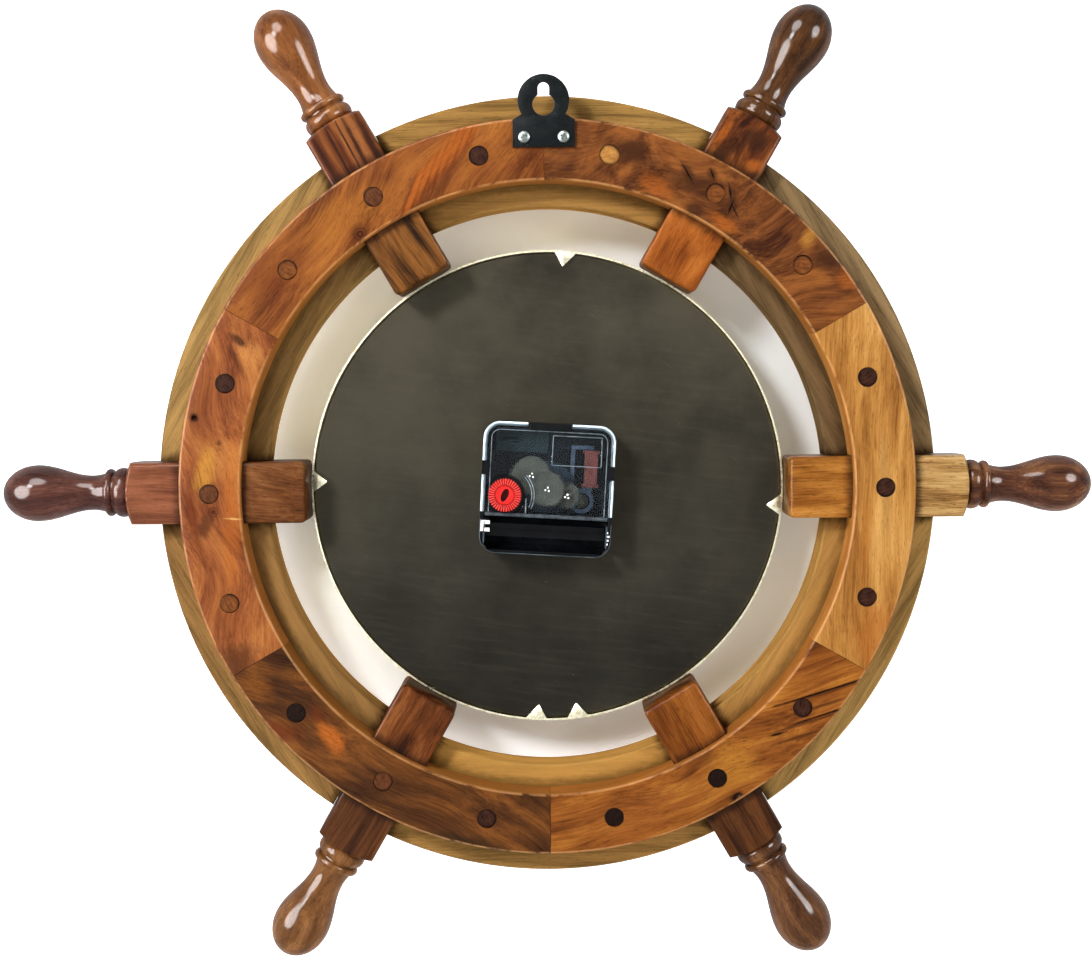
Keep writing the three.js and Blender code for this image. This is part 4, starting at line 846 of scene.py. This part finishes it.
def dowel(front, seed):
    """A hand-cut dowel about its own axis, from the rear rim's back to a depth, with an uneven sawn end.
    It sits to one side of its hole."""
    aside = polar(0.1, 97 * seed)
    rings = []
    for share, depth in ((1, front), (1, 0.5), (0.97, 0.2), (0.8, 0.1), (0.55, 0.16), (0.28, 0.1)):
        ring = []
        for angle in range(0, 360, 9):
            turn = math.radians(angle)
            wave = math.sin(2 * turn + seed) + math.sin(3 * turn + 2.3 * seed)
            x, z = polar(DOWEL_RADIUS * share * (0.965 + 0.017 * wave), angle)
            sunk = 0.09 * math.sin(1.9 * x + seed) * math.cos(2.3 * z + seed) if share < 1 else 0.0
            ring.append((x + aside[0], -depth - sunk, z + aside[1]))
        rings.append(ring)
    return loft(rings)


def shades(tone):
    """A dark, middle and light colour about a colour."""
    return [[min(255, value * share) for value in tone] for share in (0.74, 1.0, 1.14)]


dowel_ends = {name: end_grain(f"dowel_end_{name}", *look) for name, *look in DOWEL_TONES}
front_mesh, spoke_mesh = front_felloe(), spoke()
for index, angle in enumerate(SPOKE_ANGLES):
    number = index + 1
    rear_look = REAR_WOODS[index]
    rear = wood(f"rear_wood_{number}", seed=3.7 * number, tint_and_painted_light=rear_wear, **rear_look)
    front = wood(f"front_wood_{number}", shades(FRONT_TONES[index]), grain=90, seed=20 + 2.9 * number,
                 band=4.0, stretch=14.0, warp=1.0, gloss=0.0, coat=0.0,
                 tint_and_painted_light=front_wear(FRONT_INNER_TINTS_AND_LIGHT[index]))
    spoke_woods = []
    for name, seed, base, blocks in BLOCK_LOOKS:
        block_look = base | blocks[index]
        spoke_woods.append(wood(f"{name}_block_wood_{number}", grain=0, seed=seed + 4.3 * number,
                                tint_and_painted_light=block_wear, **block_look))
    spoke_woods.append(wood(f"handle_wood_{number}", HANDLE_WOODS[index], grain=0, seed=60 + 1.9 * number,
                            band=6.0, stretch=7.0, warp=4.0, gloss=0.0, coat=0.3, coat_roughness=0.13))
    add(f"rear_rim_{number}", rear_felloe(rear_look.get("gouges", ())), [rear], wheel_frame(angle),
        [f"rear_felloe_{number}"])
    add(f"front_rim_{number}", front_mesh.copy(), [front], wheel_frame(angle + 30),
        [f"front_felloe_{number}"])
    turned_spoke = add(f"turned_spoke_{number}", spoke_mesh.copy(), spoke_woods, wheel_frame(angle),
                       [f"spoke_{number}"])
    for face in turned_spoke.data.polygons:
        face.material_index = (face.center.x > DOWEL_CIRCLE * MM) + (face.center.x > BLOCK_END * MM + 1e-6)
    for name, spot, depth, ends in PEGS:
        place = wheel_frame(angle + spot) @ Matrix.Translation((DOWEL_CIRCLE * MM, 0, 0))
        place = place @ Matrix.Rotation(1.7 * number + spot, 4, "Y")
        nodes = [f"spoke_dowel_{number}"] if spot == 0 else []
        peg = dowel(depth, 1.3 * number + 0.2 * spot)
        add(f"{name}_{number}", peg, [dowel_ends[ends[index]]], place, nodes)


# Clock: bezel, dial board, dial, spacer and glass
def bezel_form():
    inside = BEZEL_RADIUS - BEZEL_SHEET
    roll = (BEZEL_RADIUS - BEZEL_ROLL, BEZEL_FRONT - BEZEL_ROLL)
    lip = BEZEL_FRONT - LIP_DROP
    section = [
        (inside, BEZEL_BACK),
        *arc(roll, BEZEL_ROLL - BEZEL_SHEET, 0, 90, 8),
        (LIP_EDGE, lip - BEZEL_SHEET), (LIP_EDGE, lip),
        *arc(roll, BEZEL_ROLL, 90, 0, 8),
        (BEZEL_RADIUS, BEZEL_BACK),
    ]
    tabs = [rotated(tab_form(0.8 * (number % 3 - 1)), angle) for number, angle in enumerate(TAB_ANGLES)]
    return joined(turned(section), *tabs)


def tab_form(lean):
    """A pointed tab bent in from the bezel's rear edge, with a ridge along its middle."""
    rows, columns = 6, 6
    back, front = [], []
    for i in range(rows + 1):
        share = i / rows
        half = TAB_WIDTH / 2 * (1 - share) + 0.25
        radius = BEZEL_RADIUS - BEZEL_SHEET / 2 - TAB_REACH * share
        for k in range(columns + 1):
            side = 2 * k / columns - 1
            ridge = TAB_RIDGE * (1 - abs(side)) * (1 - 0.5 * share)
            depth = BEZEL_BACK + 0.25 - TAB_CURL * math.sin(math.pi * share) - ridge
            back.append((radius, -depth, half * side + lean * share))
            front.append((radius, -depth - TAB_SHEET, half * side + lean * share))
    size, count = columns + 1, len(back)
    faces = []
    for i in range(rows):
        for k in range(columns):
            a = i * size + k
            quad = (a, a + 1, a + size + 1, a + size)
            faces += [quad, tuple(count + v for v in quad[::-1])]
    border = [*range(columns), *range(columns, rows * size + columns, size)]
    border += [*range(rows * size + columns, rows * size, -1), *range(rows * size, 0, -size)]
    for a, b in zip(border, border[1:] + border[:1]):
        faces.append((a, b, count + b, count + a))
    return back + front, faces


def dial_print():
    """Hour numbers, a minute track and two rings, as thin print on the dial."""
    low, high = DIAL_FRONT - 0.1, DIAL_FRONT + INK_RISE
    forms = []
    for inner in (TRACK_INNER, TRACK_OUTER - TRACK_LINE):
        outer = inner + TRACK_LINE
        forms.append(turned([(inner, low), (outer, low), (outer, high), (inner, high)]))
    for minute in range(60):
        half = 0.9 if minute % 5 == 0 else 0.3
        gap = TRACK_LINE + 0.1
        tick = box_form(TRACK_INNER + gap, TRACK_OUTER - gap, low, high, -half, half)
        forms.append(rotated(tick, 6 * minute))
    print_mesh = to_mesh("dial_print", joined(*forms))
    bm = bmesh.new()
    bm.from_mesh(print_mesh)
    for hour in range(1, 13):
        curve = bpy.data.curves.new("number", "FONT")
        curve.body = str(hour)
        curve.align_x = "CENTER"
        curve.align_y = "CENTER"
        curve.size = NUMBER_SIZE * MM
        curve.extrude = INK_RISE / 2 * MM
        mesh = baked(link("number", curve))
        x, z = polar(NUMBER_CIRCLE, 90 - 30 * hour)
        spot = Vector((x, -DIAL_FRONT - INK_RISE / 2, z)) * MM
        mesh.transform(Matrix.Translation(spot) @ Matrix.Rotation(math.pi / 2, 4, "X"))
        bm.from_mesh(mesh)
    bm.to_mesh(print_mesh)
    bm.free()
    return print_mesh


centre = wheel_frame()
brass = metal("bezel_brass", (230, 210, 156), (186, 154, 92), 0.2, scale=60)
tab_metal = metal("tab_tin", (226, 220, 192), (128, 114, 68), 0.3, scale=420, share=0.9)
bezel = add("bezel_pan", bezel_form(), [brass, tab_metal], centre, ["bezel"], sharp=30)
for face in bezel.data.polygons:
    face.material_index = 1 if face.center.y > -(BEZEL_BACK + 0.9) * MM else 0
board_form = disc_form(BOARD_RADIUS, BOARD_BACK, BOARD_FRONT, 0.5, BORE_RADIUS)
add("painted_board", board_form, [painted_board()], centre, ["dial_board"])
paper = plastic("dial_paint", (236, 232, 220), (226, 220, 204), 0.5, scale=40, texture=0.02)
dial_form = disc_form(DIAL_RADIUS, DIAL_BACK, DIAL_FRONT, 0.1, BORE_RADIUS)
add("dial_face", dial_form, [paper], centre, ["dial"])
spacer = plastic("spacer_paint", (226, 222, 210), (212, 206, 190), 0.5, scale=60)
spacer_form = turned([(SPACER_INNER, SPACER_BACK), (SPACER_OUTER, SPACER_BACK), (SPACER_OUTER, SPACER_FRONT),
                      (SPACER_INNER, SPACER_FRONT)])
add("spacer_band", spacer_form, [spacer], centre, ["spacer_ring"])
glass = add("glass_pane", disc_form(GLASS_RADIUS, GLASS_BACK, GLASS_FRONT, 0.3),
            [clear("pane_glass", (1.0, 1.0, 1.0), 0.02, 1.5)], centre, ["glass"])
glass.visible_shadow = False
ink = plastic("dial_ink", (24, 22, 20), (38, 34, 30), 0.45, scale=300)
add("dial_print", dial_print(), [ink], centre)


# Hanger plate and its screws
def hanger():
    outline = [(-HANGER_HALF, HANGER_BOTTOM), (HANGER_HALF, HANGER_BOTTOM), (HANGER_HALF, HANGER_SHOULDER)]
    outline += arc((0, HEAD_HEIGHT), HEAD_RADIUS, -NECK_TURN, 180 + NECK_TURN, 48)
    outline.append((-HANGER_HALF, HANGER_SHOULDER))
    turn = math.degrees(math.asin(SLOT_HALF / KEYHOLE_RADIUS))
    keyhole = arc((0, KEYHOLE_HEIGHT), KEYHOLE_RADIUS, 90 + turn, 450 - turn, 40)
    keyhole += arc((0, SLOT_TOP - SLOT_HALF), SLOT_HALF, 0, 180, 16)
    curve = bpy.data.curves.new("hanger", "CURVE")
    curve.dimensions = "2D"
    curve.fill_mode = "BOTH"
    curve.extrude = ((HANGER_FRONT - HANGER_BACK) / 2 - HANGER_BEVEL) * MM
    curve.bevel_depth = HANGER_BEVEL * MM
    curve.bevel_resolution = 2
    curve.offset = -HANGER_BEVEL * MM
    for points in (outline, keyhole):
        spline = curve.splines.new("POLY")
        spline.points.add(len(points) - 1)
        for point, (x, z) in zip(spline.points, points):
            point.co = (x * MM, z * MM, 0, 1)
        spline.use_cyclic_u = True
    mesh = baked(link("hanger", curve))
    middle = (HANGER_BACK + HANGER_FRONT) / 2
    mesh.transform(Matrix.Translation((0, -middle * MM, 0)) @ Matrix.Rotation(math.pi / 2, 4, "X"))
    shade(mesh, 30)
    return mesh


def screw():
    """A round-headed cross screw about its own axis."""
    seat = HANGER_BACK - FIT
    rim, top = seat - SCREW_EDGE, seat - SCREW_RISE
    section = [(PINHOLE, SCREW_TIP), (SCREW_SHANK, SCREW_TIP), (SCREW_SHANK, seat), (SCREW_HEAD, seat),
               (SCREW_HEAD, rim)]
    for i in range(1, 8):
        c, s = polar(1, 90 * i / 8)
        section.append((SCREW_HEAD * c ** 0.7, rim - (SCREW_RISE - SCREW_EDGE) * s))
    section.append((PINHOLE, top))
    cross = box_form(-CROSS_REACH, CROSS_REACH, top - 1, top + CROSS_DEPTH, -CROSS_HALF, CROSS_HALF)
    return carved(turned(section, 32), [rotated(cross, turn) for turn in (0, 90)])


add("hanger_sheet", hanger(), [enamel()], centre, ["hanger_plate"])
zinc = metal("zinc_plate", (112, 120, 116), (52, 58, 56), 0.35, scale=900, share=0.8)
screw_mesh = screw()
for number, side in ((1, -1), (2, 1)):
    place = centre @ Matrix.Translation((side * SCREW_SIDE * MM, 0, SCREW_HEIGHT * MM))
    place = place @ Matrix.Rotation(math.radians(24 * side), 4, "Y")
    add(f"plate_screw_{number}", screw_mesh.copy(), [zinc], place, [f"hanger_screw_{number}"])


# Movement: pieces of the frame with their own finishes and softened edges
def dress(node, material, bevel=None, casts_shadow=True):
    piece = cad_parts[node]
    piece.data.materials.clear()
    piece.data.materials.append(material)
    piece.visible_shadow = casts_shadow
    if bevel:
        weld = piece.modifiers.new("weld", "WELD")
        weld.merge_threshold = 1e-5
        edge = piece.modifiers.new("edge", "BEVEL")
        edge.width = bevel * MM
        edge.segments = 2
        edge.limit_method = "ANGLE"
        edge.angle_limit = math.radians(40)


black = plastic("case_plastic", (9, 11, 13), (17, 19, 22), 0.18, scale=120, specular=0.12)
inner_black = plastic("inner_plastic", (14, 24, 32), (24, 36, 44), 0.4, scale=200, specular=0.12)
wheels = plastic("wheel_plastic", (57, 55, 46), (45, 43, 36), 0.4, scale=300, specular=0.1)
dim_steel = metal("stator_steel", (58, 66, 76), (38, 44, 52), 0.45, scale=300)
copper = plastic("coil_wire", (92, 44, 36), (66, 30, 24), 0.35, scale=500, texture=0.3, specular=0.15)
green = plastic("circuit_plastic", (22, 36, 38), (16, 26, 28), 0.4, scale=300, specular=0.15)
hand_ink = plastic("hand_paint", (20, 20, 20), (32, 32, 32), 0.3, scale=300)
smoky = clear("smoky_plastic", (0.62, 0.70, 0.76), 0.03, 1.2)
tin_and_glint = metal("contact_tin_and_glint", (250, 250, 248), (225, 226, 226), 0.5, scale=500, share=0.4, metallic=0.2)
soft_grey = plastic("divider_plastic", (74, 84, 90), (44, 52, 58), 0.25, scale=300)
# Pale plastics laid as painted reflections on the clear cover's rim and as a painted highlight on the base's
# edge
rim_reflection = plastic("rim_painted_reflection", (216, 224, 226), (168, 178, 182), 0.12, scale=120)
step_reflection = plastic("step_painted_reflection", (96, 108, 114), (60, 70, 76), 0.15, scale=120, specular=0.2)
pale_line = plastic("line_plastic_and_highlight", (150, 164, 172), (96, 108, 116), 0.2, scale=500)

dress("movement_base", black, 0.4)
dress("movement_cover", smoky, 0.25, casts_shadow=False)
dress("middle_plate", inner_black)
for node in ("second_wheel", "third_wheel", "intermediate_wheel", "centre_wheel", "cannon_pinion",
             "minute_wheel", "hour_wheel", "rotor"):
    dress(node, wheels)
dress("stator", dim_steel)
dress("coil", copper)
dress("circuit_board", green)
dress("mounting_nut", brass, 0.2)
for node in ("hour_hand", "minute_hand", "second_hand"):
    dress(node, hand_ink, 0.12)
for number in range(1, 7):
    dress(f"bezel_pin_{number}", zinc, 0.15)


# Detail of the movement's back: the cover's rim and moulded lines, with painted reflections and highlights,
# the ridged knob and the contacts
def cover_path(inset):
    """The cover's outline some way inside its edge, from one lower end over the top to the other."""
    half, corner = CASE_HALF - inset, CASE_CORNER - inset
    bend = half - corner
    side = [(half, COVER_EDGE + (bend - COVER_EDGE) * i / 30) for i in range(30)]
    top = [(bend - bend * i / 20, half) for i in range(1, 21)]
    right = side + arc((bend, bend), corner, 0, 90, 12) + top
    return right + [(-x, z) for x, z in right[-2::-1]]


def shown_runs(path):
    """The stretches of a path between the clips."""
    runs, run = [], []
    for x, z in path:
        under_top = abs(x) < CLIP_HALF and z > CASE_HALF / 2
        under_side = abs(z - SIDE_CLIP_HEIGHT) < SIDE_CLIP_HALF
        if under_top or under_side:
            runs.append(run)
            run = []
        else:
            run.append((x, z))
    runs.append(run)
    return [run for run in runs if len(run) > 1]


def cover_lines():
    """Thin moulded lines inside the rim, in a bare square frame and beside the knob's well, and two pale
    arcs on the well as painted highlights.
    """
    back, front = COVER_BACK - LINE_RISE, COVER_BACK + 0.05
    forms = [strip(cover_path(LINE_INSET), LINE_WIDTH, back, front)]
    x0, x1 = FRAME_X - FRAME_WIDTH / 2, FRAME_X + FRAME_WIDTH / 2
    z0, z1 = FRAME_Z - FRAME_HEIGHT / 2, FRAME_Z + FRAME_HEIGHT / 2
    corners = [(x0, z0), (x1, z0), (x1, z1), (x0, z1)]
    for ends in zip(corners, corners[1:] + corners[:1]):
        forms.append(strip(ends, LINE_WIDTH, RIM_BACK, RIM_BACK + 0.2))
    # Painted highlights: two pale arcs on the wall of the knob's well
    for radius in WELL_HIGHLIGHTS:
        forms.append(strip(arc((KNOB_X, KNOB_Z), radius, 135, 205, 20), 0.35, back, front))
    side = KNOB_X - KNOB_RADIUS - 1.9
    forms.append(strip([(side, KNOB_Z - 1), (side, COVER_EDGE)], 0.5, back, front))
    return joined(*forms)


def pivot_studs():
    """Three bright dots round each pivot, as painted highlights."""
    forms = []
    for pivot in PIVOTS:
        for x, z in arc(pivot, 0.85, 102, 342, 2):
            forms.append(rod_form(x, z, 0.36, COVER_BACK - 0.25, COVER_BACK + 0.05, 12))
    return joined(*forms)


def knob():
    """The setting knob about its own axis: ridges on its face and edge, a sunk slot, and its shaft."""
    def ring(radius, depth, sunk=0.0, notch=0.0):
        points = []
        for i in range(4 * KNOB_RIDGES):
            valley = 1.0 if i % 4 > 1 else 0.0
            x, z = polar(radius - notch * valley, 360 * i / (4 * KNOB_RIDGES))
            points.append((x, -depth - sunk * valley, z))
        return points
    back, front = KNOB_BACK, COVER_INSIDE
    rings = [
        ring(SHAFT_RADIUS, SHAFT_FRONT), ring(SHAFT_RADIUS, front),
        ring(KNOB_RADIUS - 0.2, front, notch=RIDGE_NOTCH),
        ring(KNOB_RADIUS, front - 0.2, notch=RIDGE_NOTCH),
        ring(KNOB_RADIUS, back + 0.5, notch=RIDGE_NOTCH),
        ring(KNOB_RADIUS - 0.35, back, sunk=0.7, notch=0.2),
        ring(RIDGE_INNER, back, sunk=WELL_DEPTH), ring(WELL_OUTER, back + WELL_DEPTH),
        ring(WELL_INNER, back + WELL_DEPTH), ring(BOSS_RADIUS, back + BOSS_DEPTH),
        ring(1.0, back + BOSS_DEPTH),
    ]
    oval = [(SLOT_LENGTH / 2 * x, SLOT_WIDTH / 2 * z) for x, z in arc((0, 0), 1, 0, 360, 32)[:-1]]
    slot = loft([[(x, -depth, z) for x, z in oval] for depth in (0.0, back + 3.0)])
    return carved(loft(rings), [rotated(slot, SLOT_TURN)], 25)


def knob_paint():
    """Red plastic, with a painted highlight on its raised ridges and painted shade where it is sunk and
    inside the slot.
    """
    t = paint("knob_red")
    place = t.place()
    flat, depth = t.flat(place), t.axis(place, "Y")
    cloud = t.noise(place, 400, detail=3)
    tint = t.mix(t.step(cloud, 0.35, 0.7), (250, 48, 44), (232, 30, 28))
    # Painted highlight on the raised ridges of the knob's face
    raised = t.step(depth, -(KNOB_BACK + 0.3) * MM, -KNOB_BACK * MM, 0.0, 0.7)
    ridge_highlight = t.step(t.length(flat), WELL_OUTER * MM, (WELL_OUTER + 0.3) * MM)
    tint = t.mix(t.times(ridge_highlight, raised), tint, (255, 112, 102))
    # Painted shade where the knob's face is sunk deeper
    sunk = t.step(depth, -(KNOB_BACK + 0.6) * MM, -(KNOB_BACK + 0.3) * MM, 0.8, 0.0)
    tint = t.mix(sunk, tint, (160, 16, 16))
    # Painted shade inside the slot
    inside = t.step(t.reach(flat, 0, 0, SLOT_LENGTH, SLOT_WIDTH, SLOT_TURN), 0.9, 1.02, 0.9, 0.0)
    tint = t.mix(inside, tint, (46, 12, 12))
    return t.surface(tint, t.step(cloud, 0.3, 0.7, 0.25, 0.4), 0.15, cloud, 0.05, 0.0002)


def contact(lip):
    """A contact strip on the bay's end wall, with the boxes [x, x, z, z] of its lip."""
    wall = box_form(CONTACT_INNER, CONTACT_OUTER, CONTACT_BACK, CONTACT_FRONT, CONTACT_LOW, CONTACT_HIGH)
    return joined(wall, *[box_form(x0, x1, CONTACT_BACK, LIP_FRONT, z0, z1) for x0, x1, z0, z1 in lip])


case = wheel_frame(CASE_TURN)
# The cover's rim and a step inside it, their pale colours painted reflections of the clear cover's edge
for name, inset, width, look in (("cover_rim", 0.45, 0.9, rim_reflection), ("cover_step", 1.3, 0.8, step_reflection)):
    for number, run in enumerate(shown_runs(cover_path(inset))):
        rim = strip(run, width, RIM_BACK + 0.3 * inset, COVER_INSIDE + 0.05)
        add(f"{name}_{number + 1}", rim, [look], case, sharp=50)
add("cover_lines", cover_lines(), [pale_line], case)
# Painted highlights round the pivots, in the contacts' pale metal
add("pivot_studs", pivot_studs(), [tin_and_glint], case)
# A thin pale line along the base's lower edge, as a painted highlight
base_edge = [(x, -z) for x, z in cover_path(0.3) if z > -COVER_EDGE + 2]
base_lip = strip(base_edge, 0.35, BASE_BACK - 0.1, BASE_BACK + 0.1)
add("base_lip", base_lip, [step_reflection], case)
divider = strip([(DIVIDER_HALF, DIVIDER_HEIGHT), (-DIVIDER_HALF, DIVIDER_HEIGHT)], DIVIDER_WIDTH,
                COVER_BACK - 0.5, COVER_BACK + 0.6)
add("divider_strip", divider, [soft_grey], case)
knob_place = case @ Matrix.Translation((KNOB_X * MM, 0, KNOB_Z * MM))
add("red_knob", knob(), [knob_paint()], knob_place, ["setting_knob"], "knob")
hooked = to_mesh("hooked_contact", contact(HOOKED_LIP))
torn = to_mesh("torn_contact", contact(TORN_LIP))
torn.transform(Matrix.Scale(-1, 4, (1, 0, 0)))
torn.flip_normals()
for number, mesh in ((1, hooked), (2, torn)):
    piece = add(mesh.name, mesh, [tin_and_glint, dim_steel], case, [f"battery_contact_{number}"])
    for face in piece.data.polygons[:6]:
        face.material_index = 1


# Stage: a pale floor, and the white sheet that the clock lies on, seen only from its own side
def stage_piece(name, corners, material):
    mesh = bpy.data.meshes.new(name)
    mesh.from_pydata(corners, [], [(0, 1, 2, 3)])
    mesh.materials.append(material)
    link(name, mesh)


def white_paper(name):
    t = paint(name)
    t.finish(Base_Color=(0.77, 0.80, 0.83, 1.0), Roughness=0.9, Specular_IOR_Level=0.03,
             Emission_Color=(1.0, 1.0, 1.0, 1.0))
    return t


def backing_sheet():
    """White paper that glows less in the wheel's gaps than outside, as painted shade in the gaps and painted
    light over the wheel's shadow outside, and lets the soft light through.
    """
    t = white_paper("sheet_white")
    reach = t.length(t.vector("SUBTRACT", t.place(), (GLOW_X, SHEET_Y, GLOW_Z)))
    # Painted light and shade: the glow is low in the gaps and high outside the wheel, about a centre a
    # little off the axis
    glow = t.step(reach, (FRONT_INNER - 4) * MM, (FRONT_OUTER - 12) * MM, GAP_GLOW, SHEET_GLOW)
    back = t.node("NewGeometry").outputs["Backfacing"]
    shown = t.times(t.seen(t.node("LightPath").outputs), t.math("SUBTRACT", 1.0, back))
    mix = t.node("MixShader")
    for socket, value in zip(mix.inputs, (shown, t.node("BsdfTransparent").outputs[0], t.shader.outputs[0])):
        t.set(socket, value)
    t.set(t.output.inputs[0], mix.outputs[0])
    return t.finish(Emission_Strength=glow)


def floor():
    """A pale floor that the camera sees as nearly white, with the shadows on it."""
    t = white_paper("floor_white")
    seen = t.node("LightPath").outputs["Is Camera Ray"]
    return t.finish(Emission_Strength=t.times_plus(seen, 0.3, 0.3))


def studio(behind, ahead):
    """A world that camera, metal and glass see as white, with soft light of two levels behind and ahead of
    the clock."""
    t = Tree(bpy.data.worlds.new("studio"), "Background", "OutputWorld")
    path = t.node("LightPath").outputs
    shown = t.times(t.seen(path), t.math("LESS_THAN", path["Diffuse Depth"], 0.5))
    towards_back = t.axis(t.node("TexCoord").outputs["Generated"], "Y")
    soft = t.times_plus(towards_back, (behind - ahead) / 2, (behind + ahead) / 2)
    return t.finish(Color=(1.0, 1.0, 1.0, 1.0), Strength=t.math("MAXIMUM", shown, soft))


def lamp(name, position, size, power, lights_all=True):
    """A soft round lamp that faces the wheel. It lights all of it, or only shows in its gloss."""
    light = bpy.data.lights.new(name, "AREA")
    light.shape = "DISK"
    light.size = size
    light.energy = power
    item = link(name, light)
    item.location = position
    facing = Vector((0.0, 0.0, AXIS_HEIGHT * MM)) - Vector(position)
    item.rotation_euler = facing.to_track_quat("-Z", "Y").to_euler()
    item.visible_diffuse = lights_all


far = STAGE_SIZE
stage_piece("floor", [(-far, -far, FLOOR), (far, -far, FLOOR), (far, far, FLOOR), (-far, far, FLOOR)],
            floor())
stage_piece("white_sheet", [(far, SHEET_Y, FLOOR), (-far, SHEET_Y, FLOOR), (-far, SHEET_Y, far),
                            (far, SHEET_Y, far)], backing_sheet())
bpy.context.scene.world = studio(behind=0.15, ahead=0.5)
lamp("upper_left", (0.62, 0.9, 0.42), 0.28, 12.0)
lamp("right", (-0.75, 0.75, 0.05), 0.3, 2.4)
lamp("front", (-0.2, -1.3, 0.15), 0.5, 9.0)
lamp("left_gloss", (0.85, 0.68, -0.05), 0.8, 60.0, lights_all=False)
lamp("top_gloss", (0.36, 0.72, 0.75), 0.6, 24.0, lights_all=False)
lamp("right_gloss", (-0.8, 0.66, 0.2), 0.5, 18.0, lights_all=False)

# Camera: a long lens a little above the wheel's axis
camera_data = bpy.data.cameras.new("camera")
camera_data.sensor_width = SENSOR
camera_data.lens = LENS
camera_data.shift_x = SHIFT_X / PICTURE_WIDTH
camera_data.shift_y = SHIFT_Y / PICTURE_WIDTH
camera = link("camera", camera_data)
position = Vector((0.0, CAMERA_AWAY, AXIS_HEIGHT * MM + CAMERA_RISE))
aim = Vector((0.0, AIM_Y, AXIS_HEIGHT * MM))
facing = (aim - position).to_track_quat("-Z", "Y").to_matrix().to_4x4()
roll = Matrix.Rotation(math.radians(CAMERA_ROLL), 4, "Z")
camera.matrix_world = Matrix.Translation(position) @ facing @ roll
bpy.context.scene.camera = camera
bpy.context.scene.view_settings.view_transform = "Standard"
